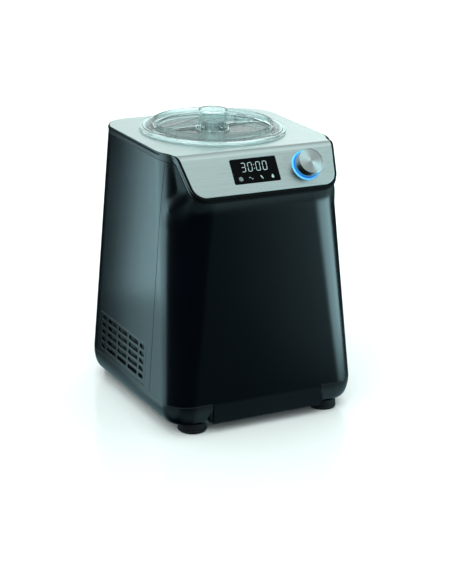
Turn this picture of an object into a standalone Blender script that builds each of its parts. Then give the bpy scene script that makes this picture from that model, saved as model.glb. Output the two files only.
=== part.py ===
"""Compressor ice cream maker: tapered housing, steel top plate with a sloped control fascia, clear lid
with a refill cover, removable bowl with a driven paddle, and the cooling and drive parts inside.

Metres, +Z up, the front faces -Y. The origin is on the ground below the middle of the base.
"""

from math import cos, pi, radians, sin, sqrt, tan

import bmesh
import bpy
from mathutils import Matrix, Vector

# Housing: a rounded rectangle that tapers from the base seam to the plate.
PLATE_TOP = 0.340
BASE_SEAM = 0.0394
BASE_HALF_WIDTH = 0.1310
TOP_HALF_WIDTH = 0.1162
BASE_HALF_DEPTH = 0.1344
TOP_FRONT = -0.1036
TOP_BACK = 0.1230
BASE_FRONT_RADIUS = 0.032
TOP_FRONT_RADIUS = 0.057
BACK_RADIUS = 0.041
WALL = 0.0025
GAP = 0.0004
PARTING_Y = -0.067
FRAME_SEAM = 0.3315
BASE_BOTTOM = 0.0130
BASE_ROUND = 0.0100
SKIRT_BOTTOM = 0.0125
SKIRT_HALF_WIDTH = 0.076
SKIRT_DEPTH = 0.016
CORNER_STEPS = 6
SIDE_STEPS = 3

# Top plate, in the flat: x across, t along the sheet from back to front.
PLATE_THICKNESS = 0.0012
PLATE_HALF_WIDTH = 0.1153
PLATE_BACK = 0.1222
SHOULDER_START = -0.044
SHOULDER_RADIUS = 0.038
SHOULDER_ANGLE = radians(28)
NECK_RADIUS = 0.045
FASCIA_DRAFT = radians(10)
FASCIA_CORNER = 0.018
FASCIA_LENGTH = 0.0544
FOLD_START = -0.0785
FOLD_RADIUS = 0.012
FOLD_ANGLE = radians(54.6)

# Places on the fascia: x across, s down the slope from the edge where its plane meets the plate's.
DISPLAY_X = -0.0093
DISPLAY_S = 0.0263
DISPLAY_WIDTH = 0.0620
DISPLAY_HEIGHT = 0.0312
KNOB_X = 0.0611
KNOB_S = 0.0272
KNOB_RADIUS = 0.0163
KNOB_HEIGHT = 0.0150
SHAFT_IN_KNOB = 0.0028
LIGHT_RING_RADIUS = 0.0190
RIM_WIDTH = 0.0030
FRAME_DEPTH = 0.0070
FRAME_LEDGE = 0.0075
BROW_DEPTH = 0.0400
BROW_DRAFT = 0.36

# Lid, bowl and evaporator share one upright axis.
AXIS_Y = 0.0303
OPENING_RADIUS = 0.0840
LID_RADIUS = 0.0930
LID_WALL_RADIUS = 0.0766
HUB_RADIUS = 0.0175
HUB_TOP = 0.3657
LID_STEP = 0.3443
LID_LIP = 0.3505
LID_FLOOR = 0.3400
RIB_ANGLES = (-11.0, 189.0)
RIB_BOTTOM = 0.3465
RIB_TOP = 0.3580
FLANGE_TOP = 0.3429
FLANGE_BOTTOM = 0.3409
SPIGOT_BOTTOM = 0.3312
LUG_RADIUS = 0.0833
COLLAR_RADIUS = 0.0880
BOWL_RADIUS = 0.0700
BOWL_FLOOR = 0.1940
WELL_RADIUS = 0.0725
WELL_FLOOR = 0.1900
LUG_ANGLES = (-98.0, 22.0, 142.0)
LUG_HALF_ANGLE = 7.3

# Side grilles: five rows of slots, two short and three long.
GRILLE_BACK = 0.0870
GRILLE_FRONT = -0.0510
GRILLE_BOTTOM = 0.0420
GRILLE_TOP = 0.0960
SLOT_LONG = 0.0270
SLOT_SHORT = 0.0120
SLOT_HEIGHT = 0.0055
SLOT_BAR = 0.0052
SLOT_PITCH = 0.0097
LAP = 0.0030

# Feet
FOOT_X = 0.0929
FOOT_Y = 0.1108
FOOT_RADIUS = 0.0179
BOSS_RADIUS = 0.0060
BOSS_TOP = 0.0300
SCREW_HOLE_RADIUS = 0.0024

# Gear train: the output gear and its shaft on the lid's axis, an idler, and the motor's pinion.
OUTPUT_TEETH = 44
IDLER_PINION_TEETH = 14
OUTPUT_MODULE = 0.00125
IDLER_WHEEL_TEETH = 48
MOTOR_TEETH = 12
MOTOR_MODULE = 0.0010
IDLER_DIRECTION = radians(60)
MOTOR_DIRECTION = radians(180)
SHAFT_RADIUS = 0.0040
HEX_FLAT = 0.0039
AXLE_RADIUS = 0.0020
BEARING_RADIUS = 0.0078

# Cooling
COIL_RADIUS = 0.0028
JACKET_RADIUS = 0.0880
COMPRESSOR_X = 0.038
COMPRESSOR_Y = -0.058
COMPRESSOR_RADIUS = 0.048
GROMMET_CIRCLE = 0.040
FAN_Y = 0.0190
FAN_Z = 0.0680
FAN_HALF = 0.0455
FAN_BORE_RADIUS = 0.0430
FAN_BLADES = 7

CENTRE = (0.0, AXIS_Y)
AXIS = Matrix.Translation((*CENTRE, 0.0))
ROUND = 36
SMALL_ROUND = 16
WELD = 0.000001
OUT = 0.2
ALONG_Y = (0.0, 1.0, 0.0)


# ---------------------------------------------------------------- scene helpers


def clear_scene():
    for old in list(bpy.data.objects):
        bpy.data.objects.remove(old, do_unlink=True)


def collection(name):
    made = bpy.data.collections.new(name)
    bpy.context.scene.collection.children.link(made)
    return made


clear_scene()
PARTS = collection("ice_cream_maker")
CUTTERS = collection("cutters")
CUTTERS.hide_render = True


def material(name, colour, roughness, metallic=0.0, alpha=1.0):
    made = bpy.data.materials.new(name)
    made.use_nodes = True
    shader = made.node_tree.nodes["Principled BSDF"]
    shader.inputs["Base Color"].default_value = (*colour, 1.0)
    shader.inputs["Roughness"].default_value = roughness
    shader.inputs["Metallic"].default_value = metallic
    shader.inputs["Alpha"].default_value = alpha
    return made


MATERIALS = {
    "steel": material("steel", (0.72, 0.75, 0.75), 0.32, 1.0),
    "casing": material("casing", (0.030, 0.038, 0.042), 0.42),
    "frame": material("frame", (0.05, 0.06, 0.065), 0.30),
    "rubber": material("rubber", (0.015, 0.015, 0.016), 0.8),
    "window": material("window", (0.004, 0.005, 0.006), 0.08),
    "clear": material("clear", (0.85, 0.92, 0.92), 0.05, 0.0, 0.3),
    "light": material("light", (0.30, 0.62, 0.95), 0.4),
    "aluminium": material("aluminium", (0.80, 0.81, 0.82), 0.35, 1.0),
    "paddle": material("paddle", (0.55, 0.58, 0.58), 0.45),
    "silicone": material("silicone", (0.60, 0.63, 0.64), 0.6),
    "copper": material("copper", (0.72, 0.36, 0.22), 0.3, 1.0),
    "foam": material("foam", (0.86, 0.84, 0.76), 0.9),
    "nylon": material("nylon", (0.82, 0.81, 0.77), 0.5),
    "black_steel": material("black_steel", (0.02, 0.02, 0.02), 0.4),
    "board": material("board", (0.03, 0.22, 0.10), 0.5),
}


def finish(obj, slot, smooth=True):
    obj.data.materials.clear()
    obj.data.materials.append(MATERIALS[slot])
    if smooth:
        obj.data.shade_smooth()
        obj.data.set_sharp_from_angle(angle=radians(35))
    return obj


def from_bmesh(name, shape, home=PARTS):
    bmesh.ops.recalc_face_normals(shape, faces=shape.faces)
    mesh = bpy.data.meshes.new(name)
    shape.to_mesh(mesh)
    shape.free()
    obj = bpy.data.objects.new(name, mesh)
    home.objects.link(obj)
    if home is CUTTERS:
        obj.hide_render = True
        obj.display_type = "WIRE"
    return obj


def boolean(target, other, operation):
    change = target.modifiers.new(other.name, "BOOLEAN")
    change.operation = operation
    change.solver = "EXACT"
    change.object = other
    return target


def cut(target, *others):
    for other in others:
        boolean(target, other, "DIFFERENCE")
    return target


def join(target, *others):
    for other in others:
        boolean(target, other, "UNION")
    return target


def keep(target, other):
    return boolean(target, other, "INTERSECT")


def applied(obj):
    """The object with its modifiers made part of its mesh."""
    bpy.context.view_layer.update()
    graph = bpy.context.evaluated_depsgraph_get()
    mesh = bpy.data.meshes.new_from_object(obj.evaluated_get(graph))
    obj.modifiers.clear()
    obj.data = mesh
    return obj


# ---------------------------------------------------------------- solid makers


def box(name, low, high, home=CUTTERS, turn=None):
    shape = bmesh.new()
    bmesh.ops.create_cube(shape, size=1.0)
    size = [b - a for a, b in zip(low, high)]
    middle = [(a + b) / 2 for a, b in zip(low, high)]
    place = Matrix.Translation(middle) @ Matrix.Diagonal((*size, 1.0))
    bmesh.ops.transform(shape, matrix=place, verts=shape.verts)
    if turn is not None:
        bmesh.ops.transform(shape, matrix=turn, verts=shape.verts)
    return from_bmesh(name, shape, home)


def loft(name, rings, home=CUTTERS):
    """A closed solid through rings of the same number of points."""
    shape = bmesh.new()
    rows = [[shape.verts.new(point) for point in ring] for ring in rings]
    count = len(rings[0])
    for lower, upper in zip(rows, rows[1:]):
        for i in range(count):
            j = (i + 1) % count
            shape.faces.new((lower[i], lower[j], upper[j], upper[i]))
    shape.faces.new(rows[0])
    shape.faces.new(rows[-1])
    return from_bmesh(name, shape, home)


def prism(name, outline, low, high, home=CUTTERS, place=None):
    """An outline in x and y, extruded from one height to another and then placed by a matrix."""
    curve = bpy.data.curves.new(name, "CURVE")
    curve.dimensions = "2D"
    curve.fill_mode = "BOTH"
    curve.extrude = (high - low) / 2
    spline = curve.splines.new("POLY")
    spline.use_cyclic_u = True
    spline.points.add(len(outline) - 1)
    for point, (x, y) in zip(spline.points, outline):
        point.co = (x, y, 0.0, 1.0)
    flat = bpy.data.objects.new(name, curve)
    CUTTERS.objects.link(flat)
    graph = bpy.context.evaluated_depsgraph_get()
    shape = bmesh.new()
    shape.from_mesh(bpy.data.meshes.new_from_object(flat.evaluated_get(graph)))
    bpy.data.objects.remove(flat)
    bmesh.ops.remove_doubles(shape, verts=shape.verts, dist=WELD)
    bmesh.ops.translate(shape, vec=(0.0, 0.0, (low + high) / 2), verts=shape.verts)
    obj = from_bmesh(name, shape, home)
    if place is not None:
        obj.data.transform(place)
    return obj


def pivot(obj, place):
    """Put the object's origin on a joint's axis without moving its shape."""
    obj.data.transform(place.inverted())
    obj.matrix_world = place
    return obj


def cylinder(name, radius, low, high, centre=(0.0, 0.0), segments=SMALL_ROUND, home=CUTTERS, place=None):
    shape = bmesh.new()
    bmesh.ops.create_cone(
        shape, cap_ends=True, segments=segments, radius1=radius, radius2=radius, depth=high - low
    )
    bmesh.ops.translate(shape, vec=(centre[0], centre[1], (low + high) / 2), verts=shape.verts)
    obj = from_bmesh(name, shape, home)
    if place is not None:
        obj.data.transform(place)
    return obj


def turned(name, profile, centre=(0.0, 0.0), segments=ROUND, home=PARTS, place=None):
    """A closed profile of (radius, height) points, turned about an upright axis that radius 0 lies on."""
    area = sum(a[0] * b[1] - b[0] * a[1] for a, b in zip(profile, profile[1:] + profile[:1]))
    points = profile if area < 0 else profile[::-1]
    mesh = bpy.data.meshes.new(name)
    edges = []
    for i, point in enumerate(points):
        j = (i + 1) % len(points)
        if point[0] > 0 or points[j][0] > 0:
            edges.append((i, j))
    mesh.from_pydata([(r, 0.0, z) for r, z in points], edges, [])
    obj = bpy.data.objects.new(name, mesh)
    home.objects.link(obj)
    if home is CUTTERS:
        obj.hide_render = True
        obj.display_type = "WIRE"
    screw = obj.modifiers.new("turn", "SCREW")
    screw.axis = "Z"
    screw.steps = segments
    screw.render_steps = segments
    screw.use_merge_vertices = True
    screw.merge_threshold = 0.00001
    screw.use_smooth_shade = True
    if place is not None:
        obj.matrix_world = place
    else:
        obj.location = (centre[0], centre[1], 0.0)
    return obj


def tube(name, points, radius, sides=0, home=PARTS):
    curve = bpy.data.curves.new(name, "CURVE")
    curve.dimensions = "3D"
    curve.bevel_depth = radius
    curve.bevel_resolution = sides
    curve.use_fill_caps = True
    spline = curve.splines.new("POLY")
    spline.points.add(len(points) - 1)
    for point, place in zip(spline.points, points):
        point.co = (*place, 1.0)
    obj = bpy.data.objects.new(name, curve)
    home.objects.link(obj)
    return obj


def arc(centre_x, centre_y, radius, start, end, steps):
    angles = [start + (end - start) * i / steps for i in range(steps + 1)]
    return [(centre_x + radius * cos(angle), centre_y + radius * sin(angle)) for angle in angles]


def mirrored(half):
    """A closed outline from its right half, listed from back to front."""
    return half + [(-x, y) for x, y in half[::-1]]


# ---------------------------------------------------------------- shared outlines


def between(base, top, z):
    return base + (top - base) * (z - BASE_SEAM) / (PLATE_TOP - BASE_SEAM)


def half_width(z):
    return between(BASE_HALF_WIDTH, TOP_HALF_WIDTH, z)


def front(z):
    return between(-BASE_HALF_DEPTH, TOP_FRONT, z)


def back(z):
    return between(BASE_HALF_DEPTH, TOP_BACK, z)


def section(z, inset=0.0, height=None):
    """The housing's outline at z, moved in by an inset. The points are given the height, or z."""
    wide = half_width(z) - inset
    near = front(z) + inset
    far = back(z) - inset
    front_radius = between(BASE_FRONT_RADIUS, TOP_FRONT_RADIUS, z) - inset
    back_radius = BACK_RADIUS - inset
    half = arc(wide - back_radius, far - back_radius, back_radius, pi / 2, 0, CORNER_STEPS)
    half += arc(wide - front_radius, near + front_radius, front_radius, 0, -pi / 2, CORNER_STEPS)
    return [(x, y, z if height is None else height) for x, y in mirrored(half)]


def housing(name, low, high, inset=0.0, home=CUTTERS):
    return loft(name, [section(low, inset), section(high, inset)], home)


FOLD_LENGTH = FOLD_RADIUS * FOLD_ANGLE
FOLD_TANGENT = FOLD_RADIUS * tan(FOLD_ANGLE / 2)
CORNER_Y = FOLD_START - FOLD_TANGENT
CORNER_T = FOLD_START - FOLD_LENGTH + FOLD_TANGENT
FASCIA = Matrix(
    (
        (1.0, 0.0, 0.0, 0.0),
        (0.0, cos(FOLD_ANGLE), -sin(FOLD_ANGLE), CORNER_Y),
        (0.0, sin(FOLD_ANGLE), cos(FOLD_ANGLE), PLATE_TOP),
        (0.0, 0.0, 0.0, 1.0),
    )
)


def fascia_side():
    """Middles of the flat plate's shoulder and neck arcs, the neck's end, and the lower corner's middle."""
    shoulder = Vector((PLATE_HALF_WIDTH - SHOULDER_RADIUS, SHOULDER_START))
    outward = Vector((cos(SHOULDER_ANGLE), -sin(SHOULDER_ANGLE)))
    neck = shoulder + (SHOULDER_RADIUS + NECK_RADIUS) * outward
    side = Vector((cos(FASCIA_DRAFT), -sin(FASCIA_DRAFT)))
    neck_end = neck - NECK_RADIUS * side
    corner_t = CORNER_T - FASCIA_LENGTH + FASCIA_CORNER
    fall = corner_t - neck_end.y
    corner_x = neck_end.x + (fall * sin(FASCIA_DRAFT) - FASCIA_CORNER) / cos(FASCIA_DRAFT)
    return shoulder, neck, neck_end, Vector((corner_x, corner_t))


def plate_outline():
    """The flat plate's outline: back corners, straight sides, shoulder, neck and the lower corners."""
    shoulder, neck, _, corner = fascia_side()
    back_x = PLATE_HALF_WIDTH - BACK_RADIUS
    back_t = PLATE_BACK - BACK_RADIUS
    half = arc(back_x, back_t, BACK_RADIUS, pi / 2, 0, CORNER_STEPS)
    half += arc(shoulder.x, shoulder.y, SHOULDER_RADIUS, 0, -SHOULDER_ANGLE, SIDE_STEPS)
    half += arc(neck.x, neck.y, NECK_RADIUS, pi - SHOULDER_ANGLE, pi - FASCIA_DRAFT, SIDE_STEPS)[1:]
    half += arc(corner.x, corner.y, FASCIA_CORNER, -FASCIA_DRAFT, -pi / 2, CORNER_STEPS)
    return mirrored(half)


def fascia_outline(grow, top):
    """The fascia's outline in its own plane, with its sides carried on up to a given height."""
    _, _, neck_end, corner = fascia_side()
    rise = top + CORNER_T - neck_end.y
    half = [(neck_end.x + (grow + rise * sin(FASCIA_DRAFT)) / cos(FASCIA_DRAFT), top)]
    half += arc(corner.x, corner.y - CORNER_T, FASCIA_CORNER + grow, -FASCIA_DRAFT, -pi / 2, CORNER_STEPS)
    return mirrored(half)


def wedge(name, layers, top=0.03):
    """A solid behind the fascia through (depth, grow) layers, deepest first."""
    rings = [[(x, y, -depth) for x, y in fascia_outline(grow, top)] for depth, grow in layers]
    obj = loft(name, rings)
    obj.data.transform(FASCIA)
    return obj


def behind_fascia(name, depth):
    """Everything in front of a plane at a depth behind the fascia."""
    return box(name, (-OUT, -OUT, -depth), (OUT, OUT, OUT), turn=FASCIA)


def behind_fold(name, depth):
    """Everything outside a plane that touches the middle of the fold at a depth below its outer face."""
    centre = Matrix.Translation((0.0, FOLD_START, PLATE_TOP - FOLD_RADIUS))
    middle = centre @ Matrix.Rotation(FOLD_ANGLE / 2, 4, "X")
    return box(name, (-OUT, -OUT / 2, FOLD_RADIUS - depth), (OUT, OUT / 2, OUT / 2), turn=middle)


def sector(name, radii, angles, heights, steps=8):
    """Part of a ring about the lid's axis, between two angles in degrees."""
    inner, outer = radii
    start, end = (radians(angle) for angle in angles)
    outline = arc(0.0, AXIS_Y, outer, start, end, steps) + arc(0.0, AXIS_Y, inner, end, start, steps)
    return prism(name, outline, *heights)


# ---------------------------------------------------------------- housing


def make_top_plate():
    plate = prism("top_plate", plate_outline(), -PLATE_THICKNESS, 0.0, PARTS)
    opening = cylinder("plate_opening", OPENING_RADIUS, -0.01, 0.01, (0.0, AXIS_Y), ROUND)
    window = box(
        "plate_window",
        (DISPLAY_X - DISPLAY_WIDTH / 2 - GAP, CORNER_T - DISPLAY_S - DISPLAY_HEIGHT / 2 - GAP, -0.01),
        (DISPLAY_X + DISPLAY_WIDTH / 2 + GAP, CORNER_T - DISPLAY_S + DISPLAY_HEIGHT / 2 + GAP, 0.01),
    )
    knob_centre = (KNOB_X, CORNER_T - KNOB_S)
    hole = cylinder("plate_knob_hole", LIGHT_RING_RADIUS + GAP, -0.01, 0.01, knob_centre, ROUND // 2)
    applied(cut(plate, opening, window, hole))
    shape = bmesh.new()
    shape.from_mesh(plate.data)
    folds = 6
    for i in range(folds + 1):
        where = FOLD_START - FOLD_LENGTH * i / folds
        everything = shape.verts[:] + shape.edges[:] + shape.faces[:]
        bmesh.ops.bisect_plane(shape, geom=everything, plane_co=(0.0, where, 0.0), plane_no=ALONG_Y)
    bmesh.ops.triangulate(shape, faces=shape.faces)
    for vert in shape.verts:
        vert.co = folded(vert.co)
    bmesh.ops.recalc_face_normals(shape, faces=shape.faces)
    shape.to_mesh(plate.data)
    shape.free()
    return finish(plate, "steel")


def folded(point):
    """A point of the flat plate, its height counted from the outer face, after the fascia is bent down."""
    turn = (FOLD_START - point.y) / FOLD_RADIUS
    if turn <= 0:
        return Vector((point.x, point.y, PLATE_TOP + point.z))
    if turn >= FOLD_ANGLE:
        return FASCIA @ Vector((point.x, point.y - CORNER_T, point.z))
    radius = FOLD_RADIUS + point.z
    return Vector((point.x, FOLD_START - radius * sin(turn), PLATE_TOP - FOLD_RADIUS + radius * cos(turn)))


def make_top_frame():
    deck = PLATE_TOP - PLATE_THICKNESS - GAP
    frame = loft("top_frame", [section(FRAME_SEAM), section(deck)], PARTS)
    brow = wedge("frame_brow", [(FRAME_DEPTH, RIM_WIDTH), (0.0, RIM_WIDTH)])
    hollow = wedge("frame_hollow", [(0.05, -FRAME_LEDGE), (-0.02, -FRAME_LEDGE)])
    inner = housing("frame_inner", FRAME_SEAM - 0.03, PLATE_TOP + 0.02, FRAME_LEDGE)
    cap = box("frame_cap", (-OUT, -OUT, deck), (OUT, OUT, 2 * OUT))
    face = behind_fascia("frame_face", PLATE_THICKNESS + GAP)
    fold = behind_fold("frame_fold", PLATE_THICKNESS + GAP)
    seat_radius = COLLAR_RADIUS + 2 * GAP
    low, high = FRAME_SEAM - 0.03, PLATE_TOP + 0.02
    collar_seat = cylinder("frame_collar_seat", seat_radius, low, high, CENTRE, ROUND)
    return finish(cut(join(frame, brow), inner, hollow, cap, face, fold, collar_seat), "frame")


def make_front_shell():
    low = BASE_SEAM + GAP / 2
    top = FRAME_SEAM - GAP
    layer = FRAME_DEPTH + GAP
    shell = housing("front_shell", low, top, home=PARTS)
    brow_foot = RIM_WIDTH + BROW_DRAFT * (BROW_DEPTH - layer)
    brow = wedge("shell_brow", [(BROW_DEPTH, brow_foot), (layer, RIM_WIDTH)])
    inner = housing("shell_inner", 0.0, PLATE_TOP + 0.02, WALL)
    rise = BROW_DEPTH - layer + 0.01
    brow_inner = wedge(
        "shell_brow_inner",
        [(BROW_DEPTH, brow_foot - WALL), (layer - 0.01, brow_foot - WALL - BROW_DRAFT * rise)],
    )
    rear = box("shell_rear", (-OUT, PARTING_Y - GAP / 2, 0.0), (OUT, OUT, 2 * OUT))
    cap = box("shell_cap", (-OUT, -OUT, top), (OUT, OUT, 2 * OUT))
    face = behind_fascia("shell_face", layer)
    cut(join(shell, brow), inner, brow_inner, rear, cap, face)
    return finish(join(shell, front_skirt()), "casing")


def front_skirt():
    """The tongue of the front shell that covers the front of the base between the feet."""
    wide = SKIRT_HALF_WIDTH
    far = WALL - 0.0001 - BASE_HALF_DEPTH
    rings = []
    for z, outside in ((SKIRT_BOTTOM, 0.0), (BASE_SEAM, 0.0001), (BASE_SEAM + 0.003, 0.0006)):
        near = outside - BASE_HALF_DEPTH
        rings.append([(-wide, near, z), (wide, near, z), (wide, far, z), (-wide, far, z)])
    return loft("front_skirt", rings)


def make_rear_shell():
    shell = housing("rear_shell", BASE_SEAM + GAP / 2, FRAME_SEAM - GAP, home=PARTS)
    inner = housing("rear_inner", 0.0, PLATE_TOP + 0.02, WALL)
    ahead = box("rear_ahead", (-OUT, -OUT, 0.0), (OUT, PARTING_Y + GAP / 2, 2 * OUT))
    openings = box(
        "grille_openings",
        (-OUT, GRILLE_FRONT - GAP, GRILLE_BOTTOM - GAP),
        (OUT, GRILLE_BACK + GAP, GRILLE_TOP + GAP),
    )
    gland = cylinder("gland_hole", GLAND_HOLE_RADIUS, 0.10, 0.15, place=GLAND)
    return finish(cut(shell, inner, ahead, openings, gland), "casing")


GLAND = Matrix.Translation((0.075, 0.0, 0.060)) @ Matrix.Rotation(-pi / 2, 4, "X")
GLAND_HOLE_RADIUS = 0.0070
CORD_RADIUS = 0.0035


def make_cord_gland():
    flange = 0.0090
    neck = GLAND_HOLE_RADIUS - GAP
    inside, shoulder, outside = 0.1250, 0.1300, 0.1338
    profile = [(CORD_RADIUS, outside), (neck, outside), (neck, shoulder)]
    profile += [(flange, shoulder), (flange, inside), (CORD_RADIUS, inside)]
    return finish(turned("cord_gland", profile, segments=SMALL_ROUND, place=GLAND), "rubber")


def make_grille(name, side):
    """A slotted panel flush with the rear shell's side, with a lip that laps behind the opening's edges."""
    panel = housing(name, GRILLE_BOTTOM, GRILLE_TOP, 0.0003, PARTS)
    inner = housing(f"{name}_inner", 0.0, GRILLE_TOP + 0.02, 0.0032)
    reach = sorted((side * 0.10, side * OUT))
    window = box(f"{name}_window", (reach[0], GRILLE_FRONT, 0.0), (reach[1], GRILLE_BACK, OUT))
    lip = housing(f"{name}_lip", GRILLE_BOTTOM - 0.0008, GRILLE_TOP + LAP, WALL + GAP)
    lip_inner = housing(f"{name}_lip_inner", 0.0, GRILLE_TOP + 0.02, 0.0048)
    lip_outline = box(
        f"{name}_lip_outline",
        (reach[0], GRILLE_FRONT - LAP, 0.0),
        (reach[1], GRILLE_BACK + LAP, OUT),
    )
    lip_middle = box(
        f"{name}_lip_middle",
        (-OUT, GRILLE_FRONT + LAP, GRILLE_BOTTOM + LAP),
        (OUT, GRILLE_BACK - LAP, GRILLE_TOP - LAP),
    )
    keep(cut(lip, lip_inner, lip_middle), lip_outline)
    keep(cut(panel, inner), window)
    return finish(cut(join(panel, lip), slot_cutter(f"{name}_slots")), "casing")


def slot_rows():
    """Each slot's middle (y, z) and its length."""
    middle_y = (GRILLE_BACK + GRILLE_FRONT) / 2
    middle_z = (GRILLE_TOP + GRILLE_BOTTOM) / 2 + 0.001
    step = SLOT_LONG + SLOT_BAR
    end = 1.5 * step - SLOT_BAR / 2 + SLOT_BAR + SLOT_SHORT / 2
    columns = [(-end, SLOT_SHORT), (-step, SLOT_LONG), (0.0, SLOT_LONG), (step, SLOT_LONG), (end, SLOT_SHORT)]
    heights = [middle_z + row * SLOT_PITCH for row in range(-2, 3)]
    return [(middle_y + shift, height, length) for height in heights for shift, length in columns]


def slot_cutter(name):
    shape = bmesh.new()
    for y, z, length in slot_rows():
        made = bmesh.ops.create_cube(shape, size=1.0)["verts"]
        place = Matrix.Translation((0.0, y, z)) @ Matrix.Diagonal((0.4, length, SLOT_HEIGHT, 1.0))
        bmesh.ops.transform(shape, matrix=place, verts=made)
    return from_bmesh(name, shape, CUTTERS)


def base_ring(z, inset, round_in=BASE_ROUND):
    """The base's outline, which rounds in below the seam like a quarter ellipse."""
    drop = min((BASE_SEAM - z) / (BASE_SEAM - BASE_BOTTOM), 1.0)
    pull = round_in * (1 - sqrt(max(0.0, 1 - drop * drop)))
    return section(BASE_SEAM, inset + pull, z)


def make_base_pan():
    top = BASE_SEAM - GAP / 2
    span = BASE_SEAM - BASE_BOTTOM
    steps = 5
    heights = [BASE_SEAM - span * sin(pi / 2 * i / steps) for i in range(steps, 0, -1)]
    outer = [base_ring(z, 0.0) for z in heights] + [base_ring(top, 0.0)]
    pan = loft("base_pan", outer, PARTS)
    floor = BASE_BOTTOM + WALL
    inner_heights = [floor, floor + 0.006, floor + 0.014, top + 0.01]
    inner = loft("base_inner", [[(x, y, z) for x, y, _ in base_ring(z - WALL, WALL)] for z in inner_heights])
    cut(pan, inner)
    join(pan, base_skirt(), skirt_backing())
    cut(pan, skirt_notch())
    for i, (x, y) in enumerate(foot_places()):
        join(pan, cylinder(f"boss_{i}", BOSS_RADIUS, BASE_BOTTOM + 0.001, BOSS_TOP, (x, y)))
    for i, (x, y) in enumerate(foot_places()):
        cut(pan, cylinder(f"boss_hole_{i}", SCREW_HOLE_RADIUS, 0.0, BOSS_TOP - 0.002, (x, y)))
    return finish(pan, "casing")


def base_skirt():
    """The rear skirt, which comes down between the rear feet."""
    deep = BASE_HALF_DEPTH - 0.0005
    low = (-SKIRT_HALF_WIDTH, deep - SKIRT_DEPTH, SKIRT_BOTTOM)
    return box("base_skirt", low, (SKIRT_HALF_WIDTH, deep, BASE_SEAM - 0.006))


def skirt_backing():
    """Closes the base behind the front shell's tongue."""
    wide = SKIRT_HALF_WIDTH + 0.004
    near = -BASE_HALF_DEPTH
    low = (-wide, near + 0.001, BASE_BOTTOM + 0.0012)
    return box("skirt_backing", low, (wide, near + 2 * WALL + GAP, BASE_SEAM - GAP / 2 - 0.0003))


def skirt_notch():
    """Room in the base for the front shell's tongue."""
    wide = SKIRT_HALF_WIDTH + GAP
    return box("skirt_notch", (-wide, -OUT, 0.0), (wide, WALL + GAP - BASE_HALF_DEPTH, BASE_SEAM + 0.02))


def foot_places():
    return [(x, y) for y in (-FOOT_Y, FOOT_Y) for x in (-FOOT_X, FOOT_X)]


def make_feet():
    top = BASE_BOTTOM - GAP
    recess = 0.0060
    head_radius, shank_radius = 0.0045, 0.0020
    head_low, head_high, tip = 0.0024, 0.0056, 0.0250
    names = ("front_left", "front_right", "rear_left", "rear_right")
    for name, (x, y) in zip(names, foot_places()):
        profile = [
            (SCREW_HOLE_RADIUS, top),
            (FOOT_RADIUS - 0.0012, top),
            (FOOT_RADIUS, 0.0020),
            (FOOT_RADIUS - 0.0015, 0.0),
            (recess, 0.0),
            (recess, recess),
            (SCREW_HOLE_RADIUS, recess),
        ]
        finish(turned(f"foot_{name}", profile, (x, y), 24), "rubber")
        screw = [(0.0, head_low), (head_radius, head_low), (head_radius, head_high)]
        screw += [(shank_radius, head_high), (shank_radius, tip), (0.0, tip)]
        finish(turned(f"foot_screw_{name}", screw, (x, y), 10), "black_steel")


# ---------------------------------------------------------------- fascia pieces


def on_fascia(x, s, height=0.0):
    return FASCIA @ Matrix.Translation((x, -s, height))


def fascia_box(name, place, size, heights):
    """A box on the fascia's plane, at (x, s), between two heights above the plate's outer face."""
    width, length = size
    low, high = heights
    corners = ((-width / 2, -length / 2, low), (width / 2, length / 2, high))
    return box(name, *corners, PARTS, on_fascia(*place))


def make_controls():
    window_size = (DISPLAY_WIDTH, DISPLAY_HEIGHT)
    finish(fascia_box("display_window", (DISPLAY_X, DISPLAY_S), window_size, (-0.0030, -0.0001)), "window")
    finish(fascia_box("display_board", (DISPLAY_X, DISPLAY_S), (0.060, 0.029), (-0.0090, -0.0060)), "board")
    finish(fascia_box("control_board", (0.014, 0.0275), (0.130, 0.034), (-0.0182, -0.0166)), "board")
    knob_place = on_fascia(KNOB_X, KNOB_S)
    bore = 0.0046
    edge = LIGHT_RING_RADIUS
    proud, deep = 0.0006, -0.0030
    ring = [(bore, proud), (edge, proud), (edge, deep), (bore, deep)]
    finish(turned("knob_light_ring", ring, place=knob_place), "light")
    make_knob(knob_place)
    make_encoder(knob_place)


def make_knob(knob_place):
    base = 0.0019
    inside = KNOB_RADIUS - 0.0020
    cavity, socket = 0.0060, KNOB_HEIGHT - 0.0025
    bore = SHAFT_IN_KNOB + GAP
    knob = [
        (0.0, KNOB_HEIGHT),
        (KNOB_RADIUS - 0.0012, KNOB_HEIGHT),
        (KNOB_RADIUS - 0.0004, KNOB_HEIGHT - 0.0008),
        (KNOB_RADIUS + 0.0004, base),
        (inside, base),
        (inside, cavity),
        (bore, cavity),
        (bore, socket),
        (0.0, socket),
    ]
    finish(turned("knob", knob, place=knob_place), "steel")
    top, bottom = socket - 0.0007, -0.0127
    shaft = [(0.0, top), (SHAFT_IN_KNOB, top), (SHAFT_IN_KNOB, bottom), (0.0, bottom)]
    finish(turned("encoder_shaft", shaft, segments=SMALL_ROUND, place=knob_place), "steel")


def make_encoder(knob_place):
    body = fascia_box("encoder_body", (KNOB_X, KNOB_S), (0.014, 0.014), (-0.0162, -0.0080))
    well = cylinder("encoder_well", SHAFT_IN_KNOB + 0.0005, -0.0160, 0.0, place=knob_place)
    finish(cut(body, well), "black_steel")
    top, bottom = -0.0131, -0.0145
    plunger = [(0.0, top), (SHAFT_IN_KNOB, top), (SHAFT_IN_KNOB, bottom), (0.0, bottom)]
    finish(turned("encoder_plunger", plunger, segments=12, place=knob_place), "nylon")


# ---------------------------------------------------------------- lid, bowl and paddle


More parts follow.
